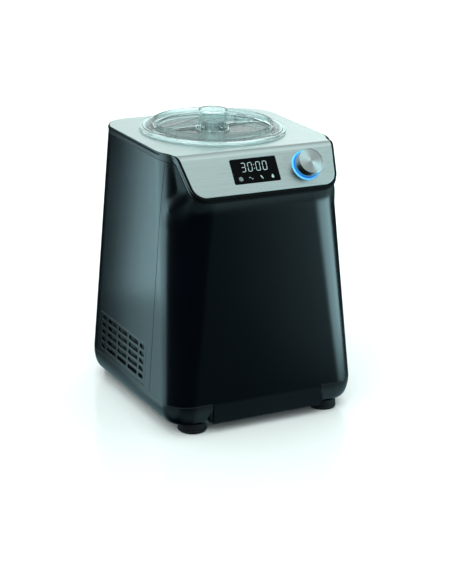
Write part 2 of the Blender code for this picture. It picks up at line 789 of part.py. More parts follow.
def make_lid():
    """A lipped lid whose middle is sunk below the plate, with a hub and two ribs to turn it by."""
    wall = LID_WALL_RADIUS
    hub = HUB_RADIUS
    outer, inner = wall + 0.0014, wall - 0.0011
    under = LID_FLOOR - 0.0020
    profile = [
        (0.0, HUB_TOP),
        (hub + 0.0008, HUB_TOP),
        (hub + 0.0008, HUB_TOP - 0.0018),
        (hub, HUB_TOP - 0.0022),
        (hub, LID_FLOOR),
        (wall - 0.003, LID_FLOOR),
        (wall - 0.003, LID_LIP),
        (wall, LID_LIP),
        (wall + 0.0008, LID_STEP),
        (0.0880, LID_STEP),
        (0.0886, FLANGE_TOP),
        (LID_RADIUS, FLANGE_TOP),
        (LID_RADIUS, FLANGE_BOTTOM),
        (0.0897, FLANGE_BOTTOM),
        (0.0897, FLANGE_BOTTOM + 0.0011),
        (0.0853, FLANGE_BOTTOM + 0.0011),
        (0.0853, FLANGE_BOTTOM),
        (outer, FLANGE_BOTTOM),
        (outer, SPIGOT_BOTTOM),
        (inner, SPIGOT_BOTTOM),
        (inner, under),
        (hub - 0.002, under),
        (hub - 0.002, HUB_TOP - 0.0025),
        (0.0, HUB_TOP - 0.0025),
    ]
    lid = turned("lid", profile, CENTRE)
    join(lid, *[lid_rib(f"rib_{i}", angle) for i, angle in enumerate(RIB_ANGLES)])
    cut(lid, sector("refill_opening", (0.0245, 0.0690), (25, 155), (LID_FLOOR - 0.005, LID_FLOOR + 0.005)))
    heights = (SPIGOT_BOTTOM + 0.0002, SPIGOT_BOTTOM + 0.0030)
    for i, angle in enumerate(LUG_ANGLES):
        span = (angle - LUG_HALF_ANGLE, angle + LUG_HALF_ANGLE)
        join(lid, sector(f"lug_{i}", (inner + 0.0010, LUG_RADIUS), span, heights, steps=4))
    finish(lid, "clear", smooth=False)
    seal_low, seal_high = FLANGE_BOTTOM - 0.0006, FLANGE_BOTTOM + 0.0008
    seal = [(0.0857, seal_high), (0.0893, seal_high), (0.0893, seal_low), (0.0857, seal_low)]
    finish(turned("lid_seal", seal, CENTRE), "silicone", smooth=False)


def lid_rib(name, angle):
    """A thin bar from the hub to the lid's lip, high enough for the refill cover to turn under it."""
    half = 0.0011
    ends = ((HUB_RADIUS - 0.001, RIB_TOP), (LID_WALL_RADIUS - 0.002, LID_LIP - 0.0004))
    rings = [[(r, -half, RIB_BOTTOM), (r, half, RIB_BOTTOM), (r, half, top), (r, -half, top)] for r, top in ends]
    rib = loft(name, rings)
    rib.data.transform(AXIS @ Matrix.Rotation(radians(angle), 4, "Z"))
    return rib


def make_refill_cover():
    inner, outer = HUB_RADIUS + GAP, HUB_RADIUS + 0.0040
    low, high = LID_FLOOR + 0.0005, LID_FLOOR + 0.0045
    cover = turned("refill_cover", [(inner, high), (outer, high), (outer, low), (inner, low)], CENTRE)
    bottom = LID_FLOOR + 0.0003
    leaf = sector("cover_leaf", (0.0197, 0.0728), (14, 166), (bottom, bottom + 0.0020), steps=17)
    tab = sector("cover_tab", (0.0600, 0.0720), (24, 36), (bottom + 0.0012, bottom + 0.0054), steps=3)
    return finish(join(cover, leaf, tab), "clear", smooth=False)


def make_lid_collar():
    seat, top = 0.3350, 0.3384
    profile = [(0.0798, top), (COLLAR_RADIUS, top), (COLLAR_RADIUS, 0.3288), (0.0846, 0.3288)]
    profile += [(0.0846, seat), (0.0798, seat)]
    collar = turned("lid_collar", profile, CENTRE)
    half = LUG_HALF_ANGLE + 2.5
    for i, angle in enumerate(LUG_ANGLES):
        span = (angle - half, angle + half)
        cut(collar, sector(f"notch_{i}", (0.0700, 0.0846), span, (0.3340, 0.3400), steps=4))
    return finish(collar, "frame", smooth=False)


def make_bowl():
    """The bowl, with a tube up its middle for the drive shaft."""
    outer = BOWL_RADIUS + 0.0013
    under = BOWL_FLOOR - 0.002
    rim, flange = 0.3303, 0.0790
    tube_top, tube_inner, tube_outer = 0.2580, 0.0096, 0.0116
    profile = [
        (tube_outer, tube_top),
        (tube_outer, BOWL_FLOOR),
        (BOWL_RADIUS - 0.004, BOWL_FLOOR),
        (BOWL_RADIUS, BOWL_FLOOR + 0.004),
        (BOWL_RADIUS, rim),
        (flange, rim),
        (flange, rim - 0.002),
        (outer, rim - 0.002),
        (outer, BOWL_FLOOR + 0.003),
        (outer - 0.004, under),
        (tube_inner, under),
        (tube_inner, tube_top),
    ]
    return finish(turned("bowl", profile, CENTRE), "aluminium")


def make_paddle():
    stem = [
        (0.0, 0.3480),
        (0.0070, 0.3480),
        (0.0080, 0.3440),
        (0.0080, 0.2720),
        (0.0148, 0.2680),
        (0.0148, 0.1960),
        (0.0126, 0.1960),
        (0.0126, 0.2610),
        (0.0, 0.2610),
    ]
    paddle = turned("paddle", stem, CENTRE, 28)
    reach = BOWL_RADIUS - 0.0035
    bar = 0.0022
    parts = (
        ("bottom", (0.0137, 0.1952), (reach, 0.2040)),
        ("side", (reach - 0.007, 0.1990), (reach, 0.3200)),
        ("top", (0.0070, 0.3130), (reach, 0.3200)),
    )
    near, far = AXIS_Y - bar, AXIS_Y + bar
    for name, low, high in parts:
        right = box(f"paddle_{name}_right", (low[0], near, low[1]), (high[0], far, high[1]))
        left = box(f"paddle_{name}_left", (-high[0], near, low[1]), (-low[0], far, high[1]))
        join(paddle, right, left)
    cut(paddle, prism("paddle_socket", hexagon(HEX_FLAT + GAP), 0.2500, 0.2672))
    finish(paddle, "paddle")
    scraper = box(
        "paddle_scraper",
        (reach + 0.0003, AXIS_Y - 0.0012, 0.2010),
        (BOWL_RADIUS - 0.0006, AXIS_Y + 0.0012, 0.3180),
        PARTS,
    )
    return finish(pivot(scraper, AXIS), "silicone")


def hexagon(flat_radius):
    corner = flat_radius / cos(pi / 6)
    return [(corner * cos(pi / 3 * i), AXIS_Y + corner * sin(pi / 3 * i)) for i in range(6)]


# ---------------------------------------------------------------- cooling


def make_evaporator():
    bore, rim, rim_radius = 0.0093, 0.3278, 0.0840
    outside, under = WELL_RADIUS + 0.0015, WELL_FLOOR - 0.0018
    well = [
        (bore, WELL_FLOOR),
        (WELL_RADIUS, WELL_FLOOR),
        (WELL_RADIUS, rim),
        (rim_radius, rim),
        (rim_radius, rim - 0.0016),
        (outside, rim - 0.0016),
        (outside, under),
        (bore, under),
    ]
    finish(turned("evaporator_well", well, CENTRE), "aluminium")
    turns = 5
    per_turn = 24
    path = 0.0782
    low = 0.205
    rise = 0.100
    points = []
    for i in range(turns * per_turn + 1):
        angle = 2 * pi * i / per_turn
        height = low + rise * i / (turns * per_turn)
        points.append((path * cos(angle), AXIS_Y + path * sin(angle), height))
    tube("evaporator_coil", points, COIL_RADIUS, 1).data.materials.append(MATERIALS["copper"])
    inner = path + COIL_RADIUS + 0.0006
    jacket = [
        (inner, 0.3255),
        (JACKET_RADIUS, 0.3255),
        (JACKET_RADIUS, 0.1770),
        (0.0140, 0.1770),
        (0.0140, 0.1872),
        (inner, 0.1872),
    ]
    finish(turned("insulation_jacket", jacket, CENTRE), "foam")


def make_compressor():
    radius = COMPRESSOR_RADIUS
    profile = [
        (0.0, 0.1480),
        (0.0260, 0.1470),
        (0.0420, 0.1400),
        (radius, 0.1260),
        (radius, 0.0900),
        (radius + 0.0015, 0.0895),
        (radius + 0.0015, 0.0855),
        (radius, 0.0850),
        (radius, 0.0500),
        (0.0400, 0.0360),
        (0.0240, 0.0300),
        (0.0, 0.0300),
    ]
    body = turned("compressor", profile, (COMPRESSOR_X, COMPRESSOR_Y), 28)
    join(body, cylinder("compressor_plate", 0.0560, 0.0262, 0.0312, (COMPRESSOR_X, COMPRESSOR_Y), 3))
    flange, neck = 0.0075, 0.0040
    top, plate_bottom, foot = 0.0335, 0.0258, 0.0159
    for i in range(3):
        angle = pi / 2 + 2 * pi * i / 3
        place = (COMPRESSOR_X + GROMMET_CIRCLE * cos(angle), COMPRESSOR_Y + GROMMET_CIRCLE * sin(angle))
        cut(body, cylinder(f"grommet_hole_{i}", neck + 0.0005, 0.02, 0.036, place, 12))
        grommet = [(0.0, top), (neck, top), (neck, plate_bottom)]
        grommet += [(flange, plate_bottom), (flange, foot), (0.0, foot)]
        finish(turned(f"compressor_grommet_{i + 1}", grommet, place, 12), "rubber")
    return finish(body, "black_steel")


ACROSS = Matrix.Rotation(pi / 2, 4, "Y")


def make_condenser():
    fins = 9
    low, high = 0.0260, 0.1080
    near, far = -0.0360, 0.0740
    core = 0.0060
    pitch = (far - near) / fins
    upper = []
    lower = []
    for i in range(fins):
        start = near + pitch * i
        end = start + pitch / 2
        upper += [(start, high - core), (start, high), (end, high), (end, high - core)]
        lower += [(start, low + core), (start, low), (end, low), (end, low + core)]
    outline = upper + lower[::-1]
    place = Matrix(((0, 0, 1, 0), (1, 0, 0, 0), (0, 1, 0, 0), (0, 0, 0, 1)))
    return finish(prism("condenser", outline, -0.1210, -0.0960, PARTS, place), "aluminium", smooth=False)


def make_fan():
    """The fan's frame, whose spokes carry its motor, and its rotor. It blows across the machine."""
    near, far = -0.0930, -0.0680
    spoke_low, spoke_high = -0.0712, far - 0.0002
    low_y, high_y = FAN_Y - FAN_HALF, FAN_Y + FAN_HALF
    frame = box("fan_frame", (near, low_y, FAN_Z - FAN_HALF), (far, high_y, FAN_Z + FAN_HALF), PARTS)
    axis = Matrix.Translation((0.0, FAN_Y, FAN_Z)) @ ACROSS
    bore = cylinder("fan_bore", FAN_BORE_RADIUS, -0.12, -0.05, segments=ROUND // 2, place=axis)
    reach = FAN_BORE_RADIUS + 0.001
    half = 0.003
    cut(frame, bore)
    for name, across, tall in (("upright", half, reach), ("level", reach, half)):
        low = (spoke_low, FAN_Y - across, FAN_Z - tall)
        join(frame, box(f"fan_spoke_{name}", low, (spoke_high, FAN_Y + across, FAN_Z + tall)))
    motor = cylinder("fan_motor", 0.0150, -0.0750, spoke_high, place=axis)
    finish(join(frame, motor), "black_steel")
    rotor = pivot(cylinder("fan_rotor", 0.0170, -0.0910, -0.0756, home=PARTS, place=axis), axis)
    for i in range(FAN_BLADES):
        turn = axis @ Matrix.Rotation(2 * pi * i / FAN_BLADES, 4, "Z")
        pitched = turn @ Matrix.Translation((0.0275, 0.0, -0.0833)) @ Matrix.Rotation(radians(32), 4, "X")
        blade = box(f"fan_blade_{i}", (-0.0130, -0.0095, -0.0008), (0.0130, 0.0095, 0.0008), turn=pitched)
        join(rotor, blade)
    return finish(rotor, "black_steel", smooth=False)


def make_plumbing():
    body, nozzle = 0.0085, 0.0030
    drier = [(0.0, 0.1330), (nozzle, 0.1320), (body, 0.1240), (body, 0.0660), (nozzle, 0.0580), (0.0, 0.0570)]
    finish(turned("filter_drier", drier, (-0.042, -0.075), SMALL_ROUND), "copper")
    discharge = [(-0.0108, -0.058, 0.110), (-0.020, -0.058, 0.110), (-0.050, -0.055, 0.112)]
    discharge += [(-0.080, -0.056, 0.112), (-0.100, -0.056, 0.108), (-0.108, -0.050, 0.100)]
    discharge += [(-0.108, -0.044, 0.094), (-0.108, -0.0366, 0.094)]
    suction = [(0.060, -0.0155, 0.1764), (0.060, -0.0165, 0.168), (0.059, -0.026, 0.162)]
    suction += [(0.056, -0.045, 0.161), (0.048, -0.054, 0.161), (0.041, -0.0575, 0.160)]
    suction += [(COMPRESSOR_X, COMPRESSOR_Y, 0.156), (COMPRESSOR_X, COMPRESSOR_Y, 0.1485)]
    tube("discharge_pipe", discharge, 0.0025, 1).data.materials.append(MATERIALS["copper"])
    tube("suction_pipe", suction, 0.0030, 1).data.materials.append(MATERIALS["copper"])


# ---------------------------------------------------------------- drive


IDLER_DISTANCE = OUTPUT_MODULE * (OUTPUT_TEETH + IDLER_PINION_TEETH) / 2
MOTOR_DISTANCE = MOTOR_MODULE * (IDLER_WHEEL_TEETH + MOTOR_TEETH) / 2
IDLER_X = IDLER_DISTANCE * cos(IDLER_DIRECTION)
IDLER_Y = AXIS_Y + IDLER_DISTANCE * sin(IDLER_DIRECTION)
MOTOR_X = IDLER_X + MOTOR_DISTANCE * cos(MOTOR_DIRECTION)
MOTOR_Y = IDLER_Y + MOTOR_DISTANCE * sin(MOTOR_DIRECTION)
GEAR_LOW = (0.1390, 0.1490)
GEAR_HIGH = (0.1510, 0.1590)


def gear_outline(teeth, module, centre, tooth_at):
    """Straight-flanked teeth with play. One tooth points in the direction tooth_at."""
    pitch_radius = module * teeth / 2
    root = pitch_radius - 1.25 * module
    tip = pitch_radius + 0.85 * module
    step = 2 * pi / teeth
    points = []
    for i in range(teeth):
        middle = tooth_at + step * i
        for radius, part in ((root, -0.27), (tip, -0.10), (tip, 0.10), (root, 0.27)):
            angle = middle + part * step
            points.append((centre[0] + radius * cos(angle), centre[1] + radius * sin(angle)))
    return points


def make_gears():
    output = prism(
        "output_gear",
        gear_outline(OUTPUT_TEETH, OUTPUT_MODULE, CENTRE, IDLER_DIRECTION),
        *GEAR_LOW,
        home=PARTS,
    )
    pivot(output, AXIS)
    cut(output, cylinder("output_bore", SHAFT_RADIUS + 0.0003, 0.13, 0.17, CENTRE))
    finish(output, "nylon", smooth=False)
    make_idler((IDLER_X, IDLER_Y))
    make_motor((MOTOR_X, MOTOR_Y))


def make_idler(centre):
    """A small gear that the output gear turns with, and the motor's larger wheel above it, in one piece."""
    facing_output = IDLER_DIRECTION + pi + pi / IDLER_PINION_TEETH
    pinion = gear_outline(IDLER_PINION_TEETH, OUTPUT_MODULE, centre, facing_output)
    idler = prism("idler_gear", pinion, GEAR_LOW[0], GEAR_HIGH[0] + 0.002, home=PARTS)
    pivot(idler, Matrix.Translation((*centre, 0.0)))
    wheel = gear_outline(IDLER_WHEEL_TEETH, MOTOR_MODULE, centre, MOTOR_DIRECTION)
    join(idler, prism("idler_wheel", wheel, *GEAR_HIGH))
    cut(idler, cylinder("idler_bore", AXLE_RADIUS + 0.0003, 0.13, 0.17, centre))
    finish(idler, "nylon", smooth=False)
    low, high = 0.1330, 0.1680
    axle = [(0.0, high), (AXLE_RADIUS, high), (AXLE_RADIUS, low), (0.0, low)]
    finish(turned("idler_axle", axle, centre, SMALL_ROUND), "steel")


def make_motor(centre):
    facing_wheel = MOTOR_DIRECTION + pi + pi / MOTOR_TEETH
    pinion = gear_outline(MOTOR_TEETH, MOTOR_MODULE, centre, facing_wheel)
    rotor = prism("motor_rotor", pinion, GEAR_HIGH[0] - 0.001, GEAR_HIGH[1] + 0.001, home=PARTS)
    pivot(rotor, Matrix.Translation((*centre, 0.0)))
    join(rotor, cylinder("rotor_shaft", 0.0025, 0.1140, GEAR_HIGH[0], centre))
    finish(rotor, "steel", smooth=False)
    low, high, floor = 0.0660, 0.1310, 0.1130
    radius, bore = 0.0250, 0.0031
    can = [(0.0, low), (radius - 0.006, low), (radius, low + 0.004), (radius, high)]
    can += [(bore, high), (bore, floor), (0.0, floor)]
    finish(turned("drive_motor", can, centre, 28), "steel")


def make_drive_shaft():
    shaft = turned(
        "drive_shaft",
        [(0.0, 0.2520), (SHAFT_RADIUS, 0.2520), (SHAFT_RADIUS, 0.1345), (0.0, 0.1345)],
        CENTRE,
        SMALL_ROUND,
    )
    join(shaft, prism("drive_hex", hexagon(HEX_FLAT), 0.2500, 0.2660))
    finish(shaft, "steel")
    bore = SHAFT_RADIUS + 0.0003
    for name, low, high in (("lower_bearing", 0.1324, 0.1372), ("upper_bearing", 0.1698, 0.1742)):
        race = [(bore, high), (BEARING_RADIUS, high), (BEARING_RADIUS, low), (bore, low)]
        finish(turned(name, race, CENTRE, SMALL_ROUND), "steel")
    lip, body = 0.0120, 0.0090
    seal = [(bore, 0.1912), (lip, 0.1912), (lip, 0.1904), (body, 0.1900), (body, 0.1860), (bore, 0.1860)]
    finish(turned("shaft_seal", seal, CENTRE, SMALL_ROUND), "rubber")


def make_gearbox():
    low = (-0.0330, -0.0025)
    high = (0.0480, 0.0910)
    floor, inner_floor, top = 0.1320, 0.1365, 0.1695
    wall = 0.0022
    body = box("gearbox_housing", (*low, floor), (*high, top), PARTS)
    inside_low = (low[0] + wall, low[1] + wall, inner_floor)
    hollow = box("gearbox_hollow", inside_low, (high[0] - wall, high[1] - wall, top + 0.01))
    seat_radius = BEARING_RADIUS + 0.0003
    lower_seat = cylinder("lower_seat", seat_radius, floor - 0.01, 0.140, CENTRE)
    axle_seat = cylinder("axle_seat", AXLE_RADIUS + 0.0003, floor + 0.0006, 0.140, (IDLER_X, IDLER_Y))
    rotor_hole = cylinder("rotor_hole", 0.0050, floor - 0.01, 0.140, (MOTOR_X, MOTOR_Y))
    finish(cut(body, hollow, lower_seat, axle_seat, rotor_hole), "nylon", smooth=False)
    cover = box("gearbox_cover", (*low, top + 0.0003), (*high, top + 0.0033), PARTS)
    cut(cover, cylinder("upper_seat", seat_radius, top - 0.01, top + 0.01, CENTRE))
    finish(cover, "nylon", smooth=False)


def make_mains_board():
    board = box("mains_board", (0.1010, -0.020, 0.112), (0.1028, 0.060, 0.168), PARTS)
    pieces = (
        ("transformer", (0.0800, -0.010, 0.118), (0.1012, 0.015, 0.142)),
        ("relay", (0.0860, 0.022, 0.118), (0.1012, 0.040, 0.132)),
        ("capacitor", (0.0870, 0.025, 0.142), (0.1012, 0.043, 0.160)),
    )
    for name, low, high in pieces:
        join(board, box(f"board_{name}", low, high))
    return finish(board, "board", smooth=False)


def main():
    make_top_plate()
    make_top_frame()
    make_front_shell()
    make_rear_shell()
    make_cord_gland()
    make_grille("left_grille", -1)
    make_grille("right_grille", 1)
    make_base_pan()
    make_feet()
    make_controls()
    make_lid()
    make_refill_cover()
    make_lid_collar()
    make_bowl()
    make_paddle()
    make_evaporator()
    make_compressor()
    make_condenser()
    make_fan()
    make_plumbing()
    make_gears()
    make_drive_shaft()
    make_gearbox()
    make_mains_board()


main()
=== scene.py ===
"""Looks of the compressor ice cream maker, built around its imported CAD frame.

Metres, +Z up, the fascia faces -Y. Every piece sits in the CAD's own frame and rides on one of its bodies.
"""

from contextlib import contextmanager
from math import asin, cos, pi, radians, sin, sqrt, tan

import bmesh
import bpy
import numpy as np
from mathutils import Matrix, Vector


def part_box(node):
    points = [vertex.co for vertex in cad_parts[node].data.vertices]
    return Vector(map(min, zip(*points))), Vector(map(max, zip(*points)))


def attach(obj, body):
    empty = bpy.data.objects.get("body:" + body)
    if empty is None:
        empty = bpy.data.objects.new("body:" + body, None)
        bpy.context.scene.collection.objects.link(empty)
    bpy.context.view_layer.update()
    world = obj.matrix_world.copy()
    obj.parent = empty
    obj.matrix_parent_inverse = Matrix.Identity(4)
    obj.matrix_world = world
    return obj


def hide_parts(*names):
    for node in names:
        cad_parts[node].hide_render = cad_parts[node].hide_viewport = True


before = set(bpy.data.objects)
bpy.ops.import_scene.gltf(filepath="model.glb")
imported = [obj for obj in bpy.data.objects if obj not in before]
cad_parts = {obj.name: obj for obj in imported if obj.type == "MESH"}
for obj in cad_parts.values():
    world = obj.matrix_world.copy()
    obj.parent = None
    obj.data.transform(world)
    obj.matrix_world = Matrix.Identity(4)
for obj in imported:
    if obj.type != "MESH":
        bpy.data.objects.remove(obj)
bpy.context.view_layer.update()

# ---------------------------------------------------------------- sizes

PLATE_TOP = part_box("top_plate")[1].z
AXIS_Y = (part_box("lid_seal")[0].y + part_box("lid_seal")[1].y) / 2
HUB_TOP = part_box("lid")[1].z

# Housing: a rounded rectangle that tapers from the base seam to the plate.
BASE_SEAM = 0.0394
BASE_HALF_WIDTH = 0.1310
TOP_HALF_WIDTH = 0.1162
BASE_HALF_DEPTH = 0.1344
TOP_FRONT = -0.1036
TOP_BACK = 0.1230
BASE_FRONT_RADIUS = 0.032
TOP_FRONT_RADIUS = 0.057
BACK_RADIUS = 0.041
WALL = 0.0025
GAP = 0.0004
PARTING_Y = -0.067
FRAME_SEAM = 0.3315
BASE_BOTTOM = 0.0130
BASE_ROUND = 0.0100
SKIRT_BOTTOM = 0.0125
SKIRT_HALF_WIDTH = 0.076
SEAM_ROUND = 0.0003
SEAM_GAP = 0.00025

# Top plate, in the flat: x across, t along the sheet from back to front.
PLATE_THICKNESS = 0.0012
PLATE_HALF_WIDTH = 0.1153
PLATE_BACK = 0.1222
SHOULDER_START = -0.044
SHOULDER_RADIUS = 0.038
SHOULDER_ANGLE = radians(28)
NECK_RADIUS = 0.045
FASCIA_DRAFT = radians(10)
FASCIA_CORNER = 0.018
FASCIA_LENGTH = 0.0544
FOLD_START = -0.0785
FOLD_RADIUS = 0.012
FOLD_ANGLE = radians(54.6)
RIM_WIDTH = 0.0030
FRAME_DEPTH = 0.0070
BROW_DRAFT = 0.36
BROW_DEPTH = 0.040
BROW_TOP = 0.030
PLATE_SEAT = PLATE_THICKNESS + GAP
LIP_DEPTH = 0.0003
OPENING_RADIUS = 0.0840
LID_LIP = 0.3505
LID_FLOOR = 0.3400
RIB_ANGLES = (-11.0, 189.0)
RIB_BOTTOM = 0.3465
RIB_TOP = 0.3580

# Places on the fascia: x across, s down the slope from the edge where its plane meets the plate's.
DISPLAY_X = -0.0093
DISPLAY_S = 0.0263
DISPLAY_WIDTH = 0.0620
DISPLAY_HEIGHT = 0.0312
DISPLAY_CORNER = 0.0018
KNOB_X = 0.0611
KNOB_S = 0.0272
KNOB_RADIUS = 0.0163
KNOB_HEIGHT = 0.0150
LIGHT_RING_RADIUS = 0.0190

FOLD_LENGTH = FOLD_RADIUS * FOLD_ANGLE
FOLD_TANGENT = FOLD_RADIUS * tan(FOLD_ANGLE / 2)
CORNER_Y = FOLD_START - FOLD_TANGENT
CORNER_T = FOLD_START - FOLD_LENGTH + FOLD_TANGENT
FASCIA = Matrix(
    (
        (1.0, 0.0, 0.0, 0.0),
        (0.0, cos(FOLD_ANGLE), -sin(FOLD_ANGLE), CORNER_Y),
        (0.0, sin(FOLD_ANGLE), cos(FOLD_ANGLE), PLATE_TOP),
        (0.0, 0.0, 0.0, 1.0),
    )
)

# Side grilles
GRILLE_BACK = 0.0870
GRILLE_FRONT = -0.0510
GRILLE_BOTTOM = 0.0420
GRILLE_TOP = 0.0960
SLOT_LONG = 0.0270
SLOT_SHORT = 0.0120
SLOT_HEIGHT = 0.0055
SLOT_BAR = 0.0052
SLOT_PITCH = 0.0097

GRILLE_SIDE = 0.1200

FOOT_RADIUS = 0.0179

TOUCHING = 1e-6
SEARCH_STEPS = 26
BROW_REACH = 0.045
FILLET_SMALL = 0.0006
FILLET_GROWTH = 0.0120
FILLET_START = -0.034
FILLET_LENGTH = 0.018
RIM_THICKNESS = 0.0018
EDGE_STEP = 0.0008
RIB_CURVE = 1.6


# ---------------------------------------------------------------- node materials


def add_node(tree, kind, **inputs):
    """A node with its inputs set or linked. An input is given by name, or as i and its number."""
    made = tree.nodes.new(kind)
    for key, value in inputs.items():
        numbered = key[0] == "i" and key[1:].isdigit()
        target = made.inputs[int(key[1:]) if numbered else key.replace("_", " ")]
        if isinstance(value, bpy.types.NodeSocket):
            tree.links.new(value, target)
        else:
            target.default_value = value
    return made


class Look:
    """A procedural material under construction, on object coordinates in metres."""

    def __init__(self, name, roughness, metallic=0.0, specular=0.5, **sockets):
        self.material = bpy.data.materials.new(name)
        self.material.use_nodes = True
        self.nodes = self.material.node_tree.nodes
        self.links = self.material.node_tree.links
        self.shader = self.nodes["Principled BSDF"]
        self.set("Roughness", roughness)
        self.set("Metallic", metallic)
        self.set("Specular IOR Level", specular)
        for socket, value in sockets.items():
            self.set(socket.replace("_", " "), value)
        self.place = self.nodes.new("ShaderNodeTexCoord").outputs["Object"]

    def set(self, socket, value):
        self.shader.inputs[socket].default_value = value

    def link(self, source, target):
        self.links.new(source, target)
        return self

    def node(self, kind, **inputs):
        return add_node(self.material.node_tree, kind, **inputs)

    def math(self, operation, a, b=0.0):
        made = self.node("ShaderNodeMath", i0=a, i1=b)
        made.operation = operation
        return made.outputs[0]

    def stretched(self, stretch):
        return self.node("ShaderNodeMapping", Vector=self.place, Scale=stretch).outputs[0]

    def noise(self, scale, detail=3.0, stretch=(1.0, 1.0, 1.0), vector=None):
        where = self.stretched(stretch) if vector is None else vector
        return self.node("ShaderNodeTexNoise", Vector=where, Scale=scale, Detail=detail).outputs["Fac"]

    def spread(self, source, low, high, start=0.3, end=0.7):
        made = self.node("ShaderNodeMapRange", i0=source, i1=start, i2=end, i3=low, i4=high)
        return made.outputs[0]

    def colour(self, source, low, high, start=0.3, end=0.7):
        ramp = self.nodes.new("ShaderNodeValToRGB")
        ramp.color_ramp.elements[0].position = start
        ramp.color_ramp.elements[1].position = end
        ramp.color_ramp.elements[0].color = (*low, 1.0)
        ramp.color_ramp.elements[1].color = (*high, 1.0)
        self.links.new(source, ramp.inputs[0])
        self.links.new(ramp.outputs[0], self.shader.inputs["Base Color"])
        return self

    def rough(self, source, low, high, start=0.3, end=0.7):
        self.links.new(self.spread(source, low, high, start, end), self.shader.inputs["Roughness"])
        return self

    def bump(self, source, depth, strength=1.0):
        made = self.node("ShaderNodeBump", Height=source, Strength=strength, Distance=depth)
        self.links.new(made.outputs[0], self.shader.inputs["Normal"])
        return self

    def radius(self):
        """Distance from the object's own Z axis."""
        parts = self.node("ShaderNodeSeparateXYZ", Vector=self.place)
        x, y = parts.outputs[0], parts.outputs[1]
        return self.math("SQRT", self.math("ADD", self.math("MULTIPLY", x, x), self.math("MULTIPLY", y, y)))

    def rings(self, scale, detail=4.0):
        """Noise that changes only with the distance from the object's Z axis, as on a turned face."""
        radius = self.radius()
        where = self.node("ShaderNodeCombineXYZ", X=radius).outputs[0]
        return self.noise(scale, detail, vector=where)


def moulded(name, dark, light, roughness, grain=900.0, depth=0.00004, specular=0.5, **sockets):
    """A moulded surface: fine grain, and a slow drift of colour and gloss."""
    look = Look(name, roughness, specular=specular, **sockets)
    look.colour(look.noise(9.0, 2.0), dark, light)
    look.rough(look.noise(12.0, 2.0), roughness - 0.008, roughness + 0.008)
    return look.bump(look.noise(grain, 2.0), depth).material


def brushed(name, dark, light, roughness, along=(2.0, 300.0, 300.0), depth=0.00002, **sockets):
    """Metal with fine straight brush marks."""
    look = Look(name, roughness, 1.0, **sockets)
    marks = look.noise(6.0, 6.0, along)
    look.colour(marks, dark, light)
    look.rough(look.noise(11.0, 5.0, along), roughness - 0.05, roughness + 0.06)
    return look.bump(marks, depth).material


def spun(name, dark, light, roughness, scale=1500.0, depth=0.00002, **sockets):
    """Metal turned on a lathe, with rings round the object's own Z axis."""
    look = Look(name, roughness, 1.0, **sockets)
    rings = look.rings(scale)
    look.colour(rings, dark, light)
    look.rough(look.rings(scale * 0.4), roughness - 0.05, roughness + 0.06)
    return look.bump(rings, depth).material


def turned_face(name, dark, light, roughness, scale):
    """A lathe-turned face, whose marks stretch each highlight out from the middle."""
    look = Look(name, roughness, 1.0, Anisotropic=0.9, Anisotropic_Rotation=0.25)
    tangent = look.nodes.new("ShaderNodeTangent")
    tangent.direction_type = "RADIAL"
    tangent.axis = "Z"
    look.link(tangent.outputs[0], look.shader.inputs["Tangent"])
    rings = look.rings(scale)
    look.colour(rings, dark, light)
    return look.bump(rings, 0.00001).material


def ring_light(name):
    """A diffuser ring lit from behind, deep blue beside the knob and cyan at its rim."""
    look = Look(name, 0.4)
    ramp = look.nodes.new("ShaderNodeValToRGB")
    ramp.color_ramp.elements[0].color = (0.006, 0.110, 0.620, 1.0)
    ramp.color_ramp.elements[1].color = (0.120, 0.560, 0.860, 1.0)
    look.link(look.spread(look.radius(), 0.0, 1.0, KNOB_RADIUS, LIGHT_RING_RADIUS), ramp.inputs[0])
    look.link(ramp.outputs[0], look.shader.inputs["Base Color"])
    look.link(ramp.outputs[0], look.shader.inputs["Emission Color"])
    look.set("Emission Strength", 0.55)
    return look.bump(look.noise(700.0), 0.00002).material


def lit(name, colour, strength, depth=0.00002):
    """A diffuser lit from behind."""
    look = Look(name, 0.35)
    look.colour(look.noise(60.0), [0.8 * c for c in colour], colour)
    look.set("Emission Color", (*colour, 1.0))
    look.set("Emission Strength", strength)
    return look.bump(look.noise(700.0), depth).material


def clear_plastic(name, tint, roughness):
    """Clear moulded plastic with a slight flow texture. Lamps shine through it."""
    look = Look(name, roughness, specular=0.5, IOR=1.13)
    look.set("Transmission Weight", 0.96)
    look.colour(look.noise(14.0), [0.97 * c for c in tint], tint)
    look.rough(look.noise(40.0, 3.0), roughness, roughness + 0.02)
    look.bump(look.noise(28.0, 2.0), 0.0006, 0.25)
    through = look.nodes.new("ShaderNodeBsdfTransparent")
    through.inputs["Color"].default_value = (*[0.9 * c for c in tint], 1.0)
    mix = look.nodes.new("ShaderNodeMixShader")
    path = look.nodes.new("ShaderNodeLightPath")
    look.link(path.outputs["Is Shadow Ray"], mix.inputs[0])
    look.link(look.shader.outputs[0], mix.inputs[1])
    look.link(through.outputs[0], mix.inputs[2])
    look.link(mix.outputs[0], look.nodes["Material Output"].inputs["Surface"])
    return look.material


def circuit_board(name):
    look = Look(name, 0.45)
    tracks = look.node("ShaderNodeTexVoronoi", Vector=look.stretched((1.0, 1.0, 1.0)), Scale=180.0)
    tracks.distance = "MANHATTAN"
    look.colour(tracks.outputs["Distance"], (0.010, 0.090, 0.040), (0.020, 0.160, 0.075), 0.2, 0.35)
    return look.bump(tracks.outputs["Distance"], 0.00005).material


